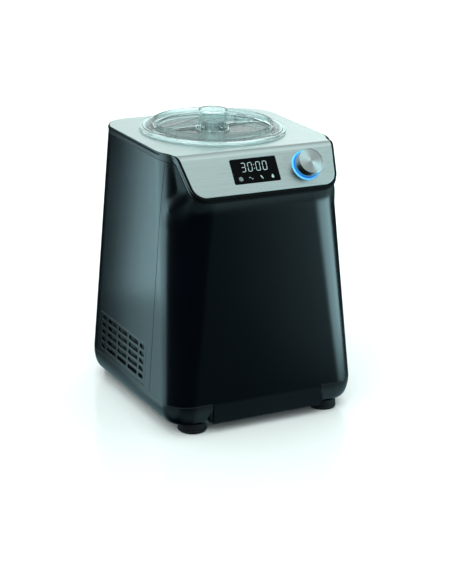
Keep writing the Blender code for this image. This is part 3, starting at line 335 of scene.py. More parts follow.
MATERIALS = {
    "casing": moulded("satin_anthracite", (0.0002, 0.0009, 0.0022), (0.0003, 0.0012, 0.0028), 0.23),
    "frame": moulded("graphite_frame", (0.0006, 0.0012, 0.0017), (0.0010, 0.0018, 0.0024), 0.32, 700.0),
    # Matt black for the frame's lip and ledge round the plate: the frame's own black, with painted shade
    # standing for the dark gap under the plate's edge.
    "lip_and_gap_shade": moulded(
        "black_lip_and_gap_shade", (0.0006, 0.0010, 0.0012), (0.0012, 0.0016, 0.0018), 0.60, 500.0, specular=0.10
    ),
    # Dark plastic for the fan parts; on the grilles' slot walls it is painted shade that darkens the insides
    # of the slots.
    "shade": moulded(
        "dark_plastic_and_painted_slot_shade", (0.0020, 0.0026, 0.0030), (0.0040, 0.0048, 0.0052), 0.65, 400.0, specular=0.08
    ),
    "rubber": moulded("black_rubber", (0.003, 0.004, 0.005), (0.006, 0.007, 0.008), 0.72, 500.0, 0.0001, 0.2),
    "plate": brushed("brushed_plate", (0.56, 0.66, 0.655), (0.66, 0.76, 0.755), 0.30),
    "machined": spun("machined_steel", (0.48, 0.50, 0.51), (0.66, 0.68, 0.69), 0.28),
    "knob_face": turned_face("turned_knob_face", (0.50, 0.57, 0.57), (0.66, 0.73, 0.73), 0.28, 2600.0),
    "knob_side": spun("polished_knob_side", (0.30, 0.33, 0.34), (0.42, 0.45, 0.46), 0.10, 300.0, 0.000004),
    "window": moulded(
        "tinted_window", (0.0006, 0.0010, 0.0014), (0.0010, 0.0014, 0.0018), 0.10, 40.0,
        0.000004, specular=0.06,
    ),
    "digits": lit("lit_digits", (0.30, 0.42, 0.43), 0.46),
    "icons": lit("lit_icons", (0.26, 0.38, 0.38), 0.45),
    "light": ring_light("blue_diffuser"),
    "clear": clear_plastic("clear_lid", (0.80, 0.90, 0.895), 0.015),
    # Bowl and evaporator well: aluminium colour darkened far below bare metal, painted shade for the covered
    # bowl seen through the lid.
    "aluminium": spun("drawn_aluminium_darkened_as_painted_shade", (0.07, 0.10, 0.105), (0.12, 0.16, 0.165), 0.28, 500.0),
    "paddle": moulded("grey_paddle", (0.11, 0.16, 0.16), (0.15, 0.20, 0.20), 0.42, 600.0),
    "silicone": moulded("silicone", (0.52, 0.57, 0.57), (0.62, 0.67, 0.67), 0.50, 400.0, specular=0.4),
    "copper": brushed("drawn_copper", (0.60, 0.27, 0.15), (0.80, 0.42, 0.26), 0.30, (90.0, 90.0, 90.0)),
    "foam": moulded("insulating_foam", (0.70, 0.66, 0.52), (0.84, 0.80, 0.68), 0.90, 260.0, 0.0006),
    "nylon": moulded("natural_nylon", (0.72, 0.70, 0.64), (0.82, 0.81, 0.76), 0.50, 500.0),
    "black_steel": moulded(
        "painted_steel", (0.014, 0.014, 0.015), (0.024, 0.024, 0.026), 0.38, 250.0, 0.0002
    ),
    "board": circuit_board("circuit_board"),
}


# ---------------------------------------------------------------- mesh helpers


def object_from(name, mesh):
    obj = bpy.data.objects.new(name, mesh)
    bpy.context.scene.collection.objects.link(obj)
    return obj


def sheet(name, rows, around=False):
    """An open surface through rows of points, each row closed on itself if it goes around."""
    count = len(rows[0])
    faces = []
    for i in range(len(rows) - 1):
        for j in range(count if around else count - 1):
            k = (j + 1) % count
            faces.append((i * count + j, i * count + k, (i + 1) * count + k, (i + 1) * count + j))
    mesh = bpy.data.meshes.new(name)
    mesh.from_pydata([tuple(point) for row in rows for point in row], [], faces)
    return object_from(name, mesh)


@contextmanager
def editing(mesh):
    """The mesh as an editable shape, which is written back at the end."""
    shape = bmesh.new()
    shape.from_mesh(mesh)
    yield shape
    shape.to_mesh(mesh)
    shape.free()


def loft(name, rings):
    """A closed solid through rings of the same number of points."""
    obj = sheet(name, rings, around=True)
    count = len(rings[0])
    with editing(obj.data) as shape:
        shape.verts.ensure_lookup_table()
        shape.faces.new(shape.verts[:count])
        shape.faces.new(shape.verts[-count:])
        bmesh.ops.recalc_face_normals(shape, faces=shape.faces)
    return obj


def outward(obj):
    with editing(obj.data) as shape:
        bmesh.ops.remove_doubles(shape, verts=shape.verts, dist=TOUCHING)
        bmesh.ops.recalc_face_normals(shape, faces=shape.faces)
    return obj


def applied(obj):
    """The object as a plain mesh with its modifiers made part of it."""
    bpy.context.view_layer.update()
    graph = bpy.context.evaluated_depsgraph_get()
    mesh = bpy.data.meshes.new_from_object(obj.evaluated_get(graph))
    if obj.type == "MESH":
        obj.modifiers.clear()
        obj.data = mesh
        return obj
    made = object_from(obj.name + "_mesh", mesh)
    made.matrix_world = obj.matrix_world.copy()
    name = obj.name
    bpy.data.objects.remove(obj)
    made.name = name
    return outward(made)


def boolean(target, operation, *others):
    for other in others:
        change = target.modifiers.new("boolean", "BOOLEAN")
        change.operation = operation
        change.solver = "EXACT"
        change.object = other
    applied(target)
    for other in others:
        bpy.data.objects.remove(other)
    return target


def cut(target, *others):
    return boolean(target, "DIFFERENCE", *others)


def join(target, *others):
    return boolean(target, "UNION", *others)


def thicken(obj, thickness, offset=-1.0):
    solid = obj.modifiers.new("wall", "SOLIDIFY")
    solid.thickness = thickness
    solid.offset = offset
    solid.use_even_offset = True
    return obj


def bevel(obj, width, segments=2, angle=40.0):
    edge = obj.modifiers.new("edges", "BEVEL")
    edge.width = width
    edge.segments = segments
    edge.limit_method = "ANGLE"
    edge.angle_limit = radians(angle)
    edge.miter_outer = "MITER_ARC"
    edge.use_clamp_overlap = True
    return obj


def finish(obj, look, body, slot, *nodes, sharp=35.0):
    """Shading, material, and the CAD body and nodes that the piece goes with. The slot argument is not used.
    """
    obj.data.materials.clear()
    obj.data.materials.append(MATERIALS[look])
    obj.data.shade_smooth()
    obj.data.set_sharp_from_angle(angle=radians(sharp))
    weigh = obj.modifiers.new("shading", "WEIGHTED_NORMAL")
    weigh.keep_sharp = True
    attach(obj, body)
    if nodes:
        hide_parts(*nodes)
    return obj


def rounded(profile, radius, steps=3, closed=True):
    """The profile with each corner replaced by an arc. Points on the axis stay sharp."""
    points = [Vector(point) for point in profile]
    made = []
    for i, corner in enumerate(points):
        before, after = points[i - 1], points[(i + 1) % len(points)]
        ends = not closed and i in (0, len(points) - 1)
        if corner.x <= 1e-9 or ends:
            made.append(tuple(corner))
            continue
        into, out = (before - corner), (after - corner)
        angle = into.angle(out)
        if angle > radians(175):
            made.append(tuple(corner))
            continue
        reach = min(radius / tan(angle / 2), into.length * 0.45, out.length * 0.45)
        start = corner + into.normalized() * reach
        end = corner + out.normalized() * reach
        for k in range(steps + 1):
            f = k / steps
            made.append(tuple((1 - f) ** 2 * start + 2 * f * (1 - f) * corner + f * f * end))
    return made


def turned(name, profile, place=None, segments=72):
    """A closed profile of (radius, height) points turned about Z and then placed."""
    shape = bmesh.new()
    columns = []
    for k in range(segments):
        angle = 2 * pi * k / segments
        columns.append([(r * cos(angle), r * sin(angle), z) for r, z in profile])
    on_axis = [r <= 1e-9 for r, _ in profile]
    axis_verts = {i: shape.verts.new((0.0, 0.0, profile[i][1])) for i, on in enumerate(on_axis) if on}
    rows = [
        [axis_verts[i] if on_axis[i] else shape.verts.new(point) for i, point in enumerate(column)]
        for column in columns
    ]
    for k in range(segments):
        here, there = rows[k], rows[(k + 1) % segments]
        for i in range(len(profile)):
            j = (i + 1) % len(profile)
            corners = [here[i], here[j], there[j], there[i]]
            corners = [v for n, v in enumerate(corners) if v not in corners[:n]]
            if len(corners) > 2:
                shape.faces.new(corners)
    bmesh.ops.recalc_face_normals(shape, faces=shape.faces)
    mesh = bpy.data.meshes.new(name)
    shape.to_mesh(mesh)
    shape.free()
    obj = object_from(name, mesh)
    obj.matrix_world = place or Matrix.Translation((0.0, AXIS_Y, 0.0))
    return obj


def arc(x, y, radius, start, end, steps):
    angles = [start + (end - start) * i / steps for i in range(steps + 1)]
    return [(x + radius * cos(angle), y + radius * sin(angle)) for angle in angles]


def mirrored(half):
    """A closed outline from its right half, listed from back to front."""
    return half + [(-x, y) for x, y in half[::-1]]


def round_box(x, y, width, height, radius, steps=6):
    """The outline of a rounded rectangle about a middle point."""
    outline = []
    for turn, (side, up) in enumerate(((1, 1), (-1, 1), (-1, -1), (1, -1))):
        start = turn * pi / 2
        middle = (x + side * (width / 2 - radius), y + up * (height / 2 - radius))
        outline += arc(*middle, radius, start, start + pi / 2, steps)
    return outline


def flat_piece(name, outlines, thickness, edge=0.0, edge_steps=1):
    """Flat outlines with holes, filled and extruded about z = 0, with rounded edges inside the outline."""
    curve = bpy.data.curves.new(name, "CURVE")
    curve.dimensions = "2D"
    curve.fill_mode = "BOTH"
    curve.extrude = thickness / 2 - edge
    curve.bevel_depth = edge
    curve.bevel_resolution = edge_steps
    curve.offset = -edge
    for outline in outlines:
        spline = curve.splines.new("POLY")
        spline.use_cyclic_u = True
        spline.points.add(len(outline) - 1)
        for point, (x, y) in zip(spline.points, outline):
            point.co = (x, y, 0.0, 1.0)
    return applied(object_from(name, curve))


# ---------------------------------------------------------------- housing surface


def between(base, top, z):
    return base + (top - base) * (z - BASE_SEAM) / (PLATE_TOP - BASE_SEAM)


def outline_lengths(z, inset=0.0):
    """Where each stretch of the outline's right half ends, from the front's middle, and its measures."""
    wide = between(BASE_HALF_WIDTH, TOP_HALF_WIDTH, z) - inset
    near = between(-BASE_HALF_DEPTH, TOP_FRONT, z) + inset
    far = between(BASE_HALF_DEPTH, TOP_BACK, z) - inset
    front_radius = between(BASE_FRONT_RADIUS, TOP_FRONT_RADIUS, z) - inset
    back_radius = BACK_RADIUS - inset
    a = wide - front_radius
    b = a + front_radius * pi / 2
    c = b + far - back_radius - near - front_radius
    d = c + back_radius * pi / 2
    return (a, b, c, d, d + wide - back_radius), (near, front_radius, back_radius)


def outline_at(s, z, inset=0.0):
    """Point and outward direction at a distance s along the outline's right half."""
    (a, b, c, d, _), (near, front_radius, back_radius) = outline_lengths(z, inset)
    phi = np.clip((s - a) / front_radius, 0, pi / 2)
    psi = np.clip((s - c) / back_radius, 0, pi / 2)
    x = np.minimum(s, a) + front_radius * np.sin(phi) - back_radius * (1 - np.cos(psi)) - np.maximum(s - d, 0)
    y = near + front_radius * (1 - np.cos(phi)) + np.clip(s - b, 0, c - b) + back_radius * np.sin(psi)
    return x, y, np.sin(phi + psi), -np.cos(phi + psi)


def parting_length(z, y):
    """How far along the outline's right half it reaches y, short of the back corner."""
    (a, b, _, _, _), (near, front_radius, _) = outline_lengths(z)
    phi = np.arccos(np.clip(1 - (y - near) / front_radius, -1, 1))
    return np.where(y >= near + front_radius, b + y - near - front_radius, a + front_radius * phi)


def fascia_side():
    """Middles of the arcs on the flat plate's right half, and the end of its neck."""
    shoulder = Vector((PLATE_HALF_WIDTH - SHOULDER_RADIUS, SHOULDER_START))
    away = Vector((cos(SHOULDER_ANGLE), -sin(SHOULDER_ANGLE)))
    neck = shoulder + (SHOULDER_RADIUS + NECK_RADIUS) * away
    side = Vector((cos(FASCIA_DRAFT), -sin(FASCIA_DRAFT)))
    neck_end = neck - NECK_RADIUS * side
    corner_t = CORNER_T - FASCIA_LENGTH + FASCIA_CORNER
    reach = (corner_t - neck_end.y) * sin(FASCIA_DRAFT) - FASCIA_CORNER
    corner = Vector((neck_end.x + reach / cos(FASCIA_DRAFT), corner_t))
    return shoulder, neck, neck_end, corner


SHOULDER, NECK, NECK_END, FASCIA_CORNER_AT = fascia_side()


def smooth_min(a, b, k):
    share = np.maximum(k - np.abs(a - b), 0.0) / k
    return np.minimum(a, b) - share * share * k / 4


def on_slope(y, z):
    """Distance up the fascia's slope, and depth behind its plane."""
    dy, dz = y - CORNER_Y, z - PLATE_TOP
    return dy * cos(FOLD_ANGLE) + dz * sin(FOLD_ANGLE), dy * sin(FOLD_ANGLE) - dz * cos(FOLD_ANGLE)


def brow_distance(x, y, z, draft):
    """Signed distance to the solid behind the fascia, which widens by a draft below the frame."""
    up, depth = on_slope(y, z)
    across = np.abs(x)
    side = NECK_END.x + (up + CORNER_T - NECK_END.y) * tan(FASCIA_DRAFT)
    to_side = (across - side) * cos(FASCIA_DRAFT)
    to_bottom = -FASCIA_LENGTH - up
    u, v = across - FASCIA_CORNER_AT.x, up - (FASCIA_CORNER_AT.y - CORNER_T)
    angle = np.arctan2(v, u)
    in_corner = (angle <= -FASCIA_DRAFT) & (angle >= -pi / 2)
    flat = np.where(in_corner, np.hypot(u, v) - FASCIA_CORNER, np.maximum(to_side, to_bottom))
    grow = RIM_WIDTH + draft * np.clip(depth - FRAME_DEPTH, 0, BROW_DEPTH - FRAME_DEPTH)
    return np.maximum(np.maximum(flat - grow, up - BROW_TOP), depth - BROW_DEPTH)


def skin(s, z, side, draft):
    """Points of the housing's outer face, drawn out to meet the fascia's brow with a fillet."""
    x, y, nx, ny = outline_at(s, z)
    low, high = np.zeros_like(x), np.full_like(x, BROW_REACH)
    for _ in range(SEARCH_STEPS):
        d = (low + high) / 2
        px, py = x + d * nx, y + d * ny
        up, _ = on_slope(py, z)
        fillet = FILLET_SMALL + FILLET_GROWTH * np.clip((FILLET_START - up) / FILLET_LENGTH, 0, 1)
        inside = smooth_min(d, brow_distance(px, py, z, draft), fillet) < 0
        low, high = np.where(inside, d, low), np.where(inside, high, d)
    return np.stack([side * (x + low * nx), y + low * ny, z], -1), np.stack([side * nx, ny, 0 * nx], -1)


def cover(y, z):
    """Depth below the outer face of the folded plate."""
    dy, dz = FOLD_START - y, z - (PLATE_TOP - FOLD_RADIUS)
    turn = np.arctan2(dy, dz)
    in_fold = FOLD_RADIUS - np.hypot(dy, dz)
    return np.where(turn <= 0, PLATE_TOP - z, np.where(turn >= FOLD_ANGLE, on_slope(y, z)[1], in_fold))


def deck(y, depth):
    """Height of the face at a depth below the folded plate's outer face."""
    turned_radius = FOLD_RADIUS - depth
    middle = PLATE_TOP - FOLD_RADIUS
    y_end = FOLD_START - turned_radius * sin(FOLD_ANGLE)
    z_end = middle + turned_radius * cos(FOLD_ANGLE)
    in_fold = middle + np.sqrt(np.maximum(turned_radius**2 - (y - FOLD_START) ** 2, 0))
    on_fascia = z_end + (y - y_end) * tan(FOLD_ANGLE)
    return np.where(y >= FOLD_START, PLATE_TOP - depth, np.where(y <= y_end, on_fascia, in_fold))


def highest(keep, low, high, shape):
    """For each column, the greatest z at which keep(z) still holds."""
    low, high = np.full(shape, low), np.full(shape, high)
    for _ in range(SEARCH_STEPS):
        z = (low + high) / 2
        good = keep(z)
        low, high = np.where(good, z, low), np.where(good, high, z)
    return low


def below_frame(points, gap):
    """True for points below the seam between the shells and the top frame, by a gap."""
    _, depth = on_slope(points[..., 1], points[..., 2])
    return smooth_min(FRAME_SEAM - gap - points[..., 2], depth - FRAME_DEPTH - gap, 0.004) > 0


def signed(fractions):
    return np.where(fractions < 0, -1.0, 1.0), np.abs(fractions)


def make_front_shell():
    side, part = signed(np.linspace(-1, 1, 221))
    parting = PARTING_Y - GAP / 2

    def points(z):
        return skin(part * parting_length(z, parting), z, side, BROW_DRAFT)[0]

    top = highest(lambda z: below_frame(points(z), GAP), BASE_SEAM, FRAME_SEAM, part.shape)
    low = BASE_SEAM + SEAM_GAP
    reach = 0.080
    levels = [low + (top - reach - low) * i / 14 for i in range(14)]
    levels += [top - reach * (1 - i / 60) for i in range(61)]
    rows = [points(z) for z in levels]
    tongue = 8
    for i in range(tongue):
        row = rows[0] * np.array([1.0, 1.0, 0.0])
        row[:, 2] = SKIRT_BOTTOM + (low - SKIRT_BOTTOM) * i / tongue
        rows.insert(i, row)

    def beside_tongue(middle):
        return middle.z < BASE_SEAM and abs(middle.x) > SKIRT_HALF_WIDTH

    return make_shell("front_shell", rows, beside_tongue)


def outward_sheet(name, rows, around=False):
    """A sheet whose faces point away from the housing's axis."""
    obj = sheet(name, rows, around)
    mesh = obj.data
    middle = mesh.polygons[len(mesh.polygons) // 2]
    if Vector(middle.normal[:]).dot(Vector(middle.center[:]) - Vector((0.0, 0.0, middle.center.z))) < 0:
        mesh.flip_normals()
    return obj


def make_shell(node, rows, left_out):
    """A casing shell through rows of points, without the faces whose middles are left out."""
    shell = outward_sheet(f"{node}_skin", rows)
    with editing(shell.data) as shape:
        gone = [face for face in shape.faces if left_out(face.calc_center_median())]
        bmesh.ops.delete(shape, geom=gone, context="FACES")
    thicken(shell, WALL)
    bevel(shell, SEAM_ROUND)
    return finish(shell, "casing", "housing", "casing", node)


def make_rear_shell():
    parting = PARTING_Y + GAP / 2
    low, top = BASE_SEAM + SEAM_GAP, FRAME_SEAM - GAP
    openings = (GRILLE_FRONT - GAP, GRILLE_BACK + GAP)
    heights = sorted(
        {low, GRILLE_BOTTOM - GAP, GRILLE_TOP + GAP, top}
        | {GRILLE_BOTTOM - GAP + (GRILLE_TOP - GRILLE_BOTTOM + 2 * GAP) * i / 6 for i in range(1, 6)}
        | {GRILLE_TOP + GAP + (top - GRILLE_TOP - GAP) * i / 24 for i in range(1, 24)}
    )
    side_ys = np.concatenate([
        np.linspace(parting, openings[0], 5)[:-1],
        np.linspace(*openings, 30),
    ])
    rows = []
    for z in heights:
        (_, b, c, d, end), (near, front_radius, _) = outline_lengths(z)
        level = min(z, GRILLE_TOP + GAP)
        (_, b0, c0, _, _), (near0, front0, _) = outline_lengths(level)
        arc_y0 = near0 + front0 + c0 - b0
        arc_y = near + front_radius + c - b
        ys = parting + (side_ys - parting) * (arc_y - parting) / (arc_y0 - parting)
        s = parting_length(z, ys)
        s = np.concatenate([s, np.linspace(c, d, 19), np.linspace(d, end, 16)[1:]])
        half = np.stack(outline_at(s, z)[:2] + (np.full_like(s, z),), -1)
        other = half[::-1][1:] * np.array([-1.0, 1.0, 1.0])
        rows.append(np.concatenate([half, other]))

    def behind_grille(middle):
        beside = openings[0] < middle.y < openings[1] and abs(middle.x) > GRILLE_SIDE
        return beside and GRILLE_BOTTOM < middle.z < GRILLE_TOP

    return make_shell("rear_shell", rows, behind_grille)


def plate_outline(steps=16):
    """The right half of the flat plate's outline, from back to front, as (x, t)."""
    half = arc(PLATE_HALF_WIDTH - BACK_RADIUS, PLATE_BACK - BACK_RADIUS, BACK_RADIUS, pi / 2, 0, steps)
    half += arc(*SHOULDER, SHOULDER_RADIUS, 0, -SHOULDER_ANGLE, steps)
    half += arc(*NECK, NECK_RADIUS, pi - SHOULDER_ANGLE, pi - FASCIA_DRAFT, steps)[1:]
    half += arc(*FASCIA_CORNER_AT, FASCIA_CORNER, -FASCIA_DRAFT, -pi / 2, steps)
    return half


def to_plate_edge(points):
    """Distance from each point to the edge of the folded plate."""
    corners = mirrored(plate_outline())
    dense = []
    for (x0, t0), (x1, t1) in zip(corners, corners[1:] + corners[:1]):
        count = max(int(sqrt((x1 - x0) ** 2 + (t1 - t0) ** 2) / EDGE_STEP), 1)
        for k in range(count):
            x, t = x0 + (x1 - x0) * k / count, t0 + (t1 - t0) * k / count
            dense.append(folded(Vector((x, t, 0.0))))
    dense = np.array([tuple(point) for point in dense])
    return np.array([np.sqrt(((dense - point) ** 2).sum(1)).min() for point in points])


def make_top_frame():
    columns = 260
    side, part = signed(np.concatenate([np.linspace(0, 1, columns), -np.linspace(1, 0, columns)[1:-1]]))

    def points(z):
        return skin(part * outline_lengths(z)[0][4], z, side, 0.0)

    low = highest(lambda z: below_frame(points(z)[0], 0.0), 0.2, PLATE_TOP, part.shape)
    top = highest(lambda z: cover(points(z)[0][..., 1], z) > LIP_DEPTH, 0.2, PLATE_TOP, part.shape)
    rows = [points(low + (top - low) * i / 8)[0] for i in range(9)]
    edge, away = points(top)
    width = np.maximum(to_plate_edge(edge) - GAP, 0.0003)[:, None]
    for inward, depth in ((0.5, LIP_DEPTH), (1.0, LIP_DEPTH), (1.0, PLATE_SEAT)):
        lip = edge - inward * width * away
        lip[..., 2] = deck(lip[..., 1], depth)
        rows.append(lip)
    ledge = edge - (width + 0.006) * away
    ledge[..., 2] = deck(ledge[..., 1], PLATE_SEAT)
    rows.append(ledge)
    rim = outward_sheet("top_frame_rim", rows, around=True)
    lip_face = 8 * len(edge)
    thicken(rim, RIM_THICKNESS)
    bevel(rim, 0.0004)
    finish(rim, "frame", "housing", "frame", "top_frame")
    # The lip and ledge rows take the matt black: painted shade of the gap round the plate, on the frame's own
    # black.
    rim.data.materials.append(MATERIALS["lip_and_gap_shade"])
    for face in rim.data.polygons[lip_face:]:
        face.material_index = 1
    return rim


def make_base():
    seam = BASE_SEAM - SEAM_GAP
    span = BASE_SEAM - BASE_BOTTOM

    def ring(z, pull):
        s = np.linspace(0, 1, 120) * outline_lengths(BASE_SEAM, pull)[0][4]
        x, y, _, _ = outline_at(s, BASE_SEAM, pull)
        half = np.stack([x, y, np.full_like(x, z)], -1)
        return np.concatenate([half, half[::-1][1:-1] * np.array([-1.0, 1.0, 1.0])])

    def inside(z):
        drop = (BASE_SEAM + WALL - z) / span
        return ring(z, WALL + BASE_ROUND * (1 - sqrt(max(0.0, 1 - drop * drop))))

    floor = BASE_BOTTOM + WALL
    rings = [inside(floor + rise) for rise in (0.0, 0.002, 0.006, 0.014)]
    rings += [ring(seam, WALL), ring(seam, SEAM_ROUND), ring(seam - SEAM_ROUND, 0.0)]
    for i in range(1, 13):
        angle = pi / 2 * i / 12
        rings.append(ring(BASE_SEAM - span * sin(angle), BASE_ROUND * (1 - cos(angle))))
    rings.append(ring(BASE_BOTTOM, BASE_ROUND + 0.02))
    pan = loft("base_pan_body", rings[::-1])
    join(pan, skirt_block(), skirt_backing())
    cut(pan, tongue_room())
    return finish(pan, "casing", "housing", "casing", "base_pan")


def upright_block(name, half_width, low, high, thickness, edge, middle_y):
    """A block that stands across the machine, with rounded corners and edges."""
    outline = round_box(0.0, 0.0, 2 * half_width, high - low, 0.002, 4)
    block = flat_piece(name, [outline], thickness, edge, 2)
    block.data.transform(Matrix.Rotation(pi / 2, 4, "X"))
    block.data.transform(Matrix.Translation((0.0, middle_y, (low + high) / 2)))
    return outward(block)


def skirt_block():
    """The base's rear skirt, between the rear feet."""
    deep = 0.014
    top = BASE_SEAM - 0.002
    middle_y = BASE_HALF_DEPTH - deep / 2
    return upright_block("rear_skirt", SKIRT_HALF_WIDTH, SKIRT_BOTTOM, top, deep, 0.001, middle_y)


def skirt_backing():
    """Closes the base behind the front shell's tongue."""
    wide, deep = SKIRT_HALF_WIDTH + 0.004, 0.0044
    low, high = BASE_BOTTOM + 0.0012, BASE_SEAM - 0.0008
    return upright_block("skirt_backing", wide, low, high, deep, 0.0, 0.001 + deep / 2 - BASE_HALF_DEPTH)


def tongue_room():
    """Room in the base for the front shell's tongue."""
    wide = SKIRT_HALF_WIDTH + GAP
    deep = 2 * (WALL + GAP)
    return upright_block("tongue_room", wide, BASE_SEAM - 0.03, BASE_SEAM + 0.03, deep, 0.0, -BASE_HALF_DEPTH)


def make_feet():
    for node in ("foot_front_left", "foot_front_right", "foot_rear_left", "foot_rear_right"):
        low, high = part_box(node)
        middle = (low + high) / 2
        profile = [
            (0.0, high.z),
            (FOOT_RADIUS - 0.0008, high.z),
            (FOOT_RADIUS - 0.0004, 0.0058),
            (FOOT_RADIUS - 0.0012, 0.0052),
            (FOOT_RADIUS - 0.0012, 0.0046),
            (FOOT_RADIUS, 0.0040),
            (FOOT_RADIUS, 0.0016),
            (FOOT_RADIUS - 0.0020, 0.0),
            (0.0105, 0.0),
            (0.0095, 0.0010),
            (0.0062, 0.0010),
            (0.0062, 0.0060),
            (0.0, 0.0060),
        ]
        foot = turned(f"{node}_pad", rounded(profile, 0.0008), Matrix.Translation((middle.x, middle.y, 0)))
        finish(foot, "rubber", "housing", "rubber", node)


def slot_outlines():
    """The grille's slots as outlines in (y, z)."""
    middle_y = (GRILLE_BACK + GRILLE_FRONT) / 2
    middle_z = (GRILLE_TOP + GRILLE_BOTTOM) / 2 + 0.001
    step = SLOT_LONG + SLOT_BAR
    end = 1.5 * step - SLOT_BAR / 2 + SLOT_BAR + SLOT_SHORT / 2
    columns = [(-end, SLOT_SHORT), (-step, SLOT_LONG), (0.0, SLOT_LONG), (step, SLOT_LONG), (end, SLOT_SHORT)]
    return [
        round_box(middle_y + shift, middle_z + row * SLOT_PITCH, length, SLOT_HEIGHT, SLOT_HEIGHT * 0.36, 4)
        for row in range(-2, 3)
        for shift, length in columns
    ]


def make_grilles():
    slope = (TOP_HALF_WIDTH - BASE_HALF_WIDTH) / (PLATE_TOP - BASE_SEAM)
    outer = round_box(
        (GRILLE_BACK + GRILLE_FRONT) / 2, (GRILLE_BOTTOM + GRILLE_TOP) / 2,
        GRILLE_BACK - GRILLE_FRONT, GRILLE_TOP - GRILLE_BOTTOM, 0.0012,
    )
    middle_y = (GRILLE_BACK + GRILLE_FRONT) / 2
    reach = (GRILLE_BACK - GRILLE_FRONT) / 2 - 0.003
    lowest = GRILLE_BOTTOM + 0.003
    thickness = 0.0030
    for name, side in (("left_grille", -1), ("right_grille", 1)):
        panel = flat_piece(f"{name}_panel", [outer] + slot_outlines(), thickness, 0.0005, 2)
        for vert in panel.data.vertices:
            y, z, out = vert.co
            face = BASE_HALF_WIDTH + slope * (z - BASE_SEAM)
            vert.co = (side * (face - 0.0003 - thickness / 2 + out), y, z)
        finish(outward(panel), "casing", "housing", "casing", name)
        # The slot walls take the dark material: painted shade inside the slots.
        panel.data.materials.append(MATERIALS["shade"])
        for face in panel.data.polygons:
            if abs(face.normal.x) < 0.3 and abs(face.center.y - middle_y) < reach and face.center.z > lowest:
                face.material_index = 1


# ---------------------------------------------------------------- top plate and fascia


def folded(point):
    """Where a point of the flat plate, its height taken from the outer face, ends up once folded."""
    turn = (FOLD_START - point.y) / FOLD_RADIUS
    if turn <= 0:
        return Vector((point.x, point.y, PLATE_TOP + point.z))
    if turn >= FOLD_ANGLE:
        return FASCIA @ Vector((point.x, point.y - CORNER_T, point.z))
    radius = FOLD_RADIUS + point.z
    return Vector((point.x, FOLD_START - radius * sin(turn), PLATE_TOP - FOLD_RADIUS + radius * cos(turn)))


def make_top_plate():
    half = plate_outline()
    opening = arc(0.0, AXIS_Y, OPENING_RADIUS, 0, 2 * pi, 96)[:-1]
    window = round_box(
        DISPLAY_X, CORNER_T - DISPLAY_S, DISPLAY_WIDTH + 2 * GAP, DISPLAY_HEIGHT + 2 * GAP, DISPLAY_CORNER
    )
    knob_hole = arc(KNOB_X, CORNER_T - KNOB_S, LIGHT_RING_RADIUS + GAP, 0, 2 * pi, 64)[:-1]
    outlines = [mirrored(half), opening, window, knob_hole]
    plate = flat_piece("top_plate_sheet", outlines, PLATE_THICKNESS, 0.0003, 2)
    folds = 18
    with editing(plate.data) as shape:
        for i in range(folds + 1):
            where = FOLD_START - FOLD_LENGTH * i / folds
            everything = shape.verts[:] + shape.edges[:] + shape.faces[:]
            place = (0.0, where, 0.0)
            bmesh.ops.bisect_plane(shape, geom=everything, plane_co=place, plane_no=(0.0, 1.0, 0.0))
        for vert in shape.verts:
            vert.co = folded(vert.co - Vector((0.0, 0.0, PLATE_THICKNESS / 2)))
        bmesh.ops.recalc_face_normals(shape, faces=shape.faces)
    return finish(plate, "plate", "housing", "plate_steel", "top_plate")


def on_fascia(x, s, height=0.0):
    return FASCIA @ Matrix.Translation((x, -s, height))


SEGMENTS = {
    "a": ((-1, 1), (1, 1)),
    "b": ((1, 1), (1, 0)),
    "c": ((1, 0), (1, -1)),
    "d": ((1, -1), (-1, -1)),
    "e": ((-1, -1), (-1, 0)),
    "f": ((-1, 0), (-1, 1)),
    "g": ((-1, 0), (1, 0)),
}
DIGITS = {"3": "abcdg", "0": "abcdef"}
COLON_X = -0.0097


def bar(start, end, width, trim):
    """A flat bar with pointed ends between two points."""
    start, end = Vector(start), Vector(end)
    along = (end - start).normalized()
    across = Vector((-along.y, along.x)) * width / 2
    start, end = start + along * trim, end - along * trim
    point = along * width / 2
    return [tuple(v) for v in (
        start, start + point + across, end - point + across, end, end - point - across, start + point - across
    )]


def make_display():
    window = flat_piece(
        "display_glass",
        [round_box(0.0, 0.0, DISPLAY_WIDTH, DISPLAY_HEIGHT, DISPLAY_CORNER - GAP)],
        0.0029, 0.0003, 2,
    )
    window.data.transform(on_fascia(DISPLAY_X, DISPLAY_S, -0.0001 - 0.0029 / 2))
    finish(window, "window", "housing", "window", "display_window")
    half_width, half_height = 0.0026, 0.0055
    outlines = []
    for index, (digit, x) in enumerate(zip("3000", (-0.0246, -0.0155, -0.0045, 0.0046))):
        for segment in DIGITS[digit]:
            start, end = [
                (x + 0.0004 + u * half_width + v * 0.0003, v * half_height) for u, v in SEGMENTS[segment]
            ]
            outlines.append(bar(start, end, 0.0008, 0.0003))
    for height in (-0.0024, 0.0024):
        outlines.append(arc(COLON_X, height, 0.0005, 0.0, radians(330), 11))
    digits = flat_piece("display_digits", outlines, 0.00006)
    digits.data.transform(on_fascia(0.0, 0.0214, 0.0))
    finish(digits, "digits", "housing", "window")
    icons = flat_piece("display_icons", icon_outlines(), 0.00006)
    icons.data.transform(on_fascia(0.0, 0.0358, 0.0))
    finish(icons, "icons", "housing", "window")


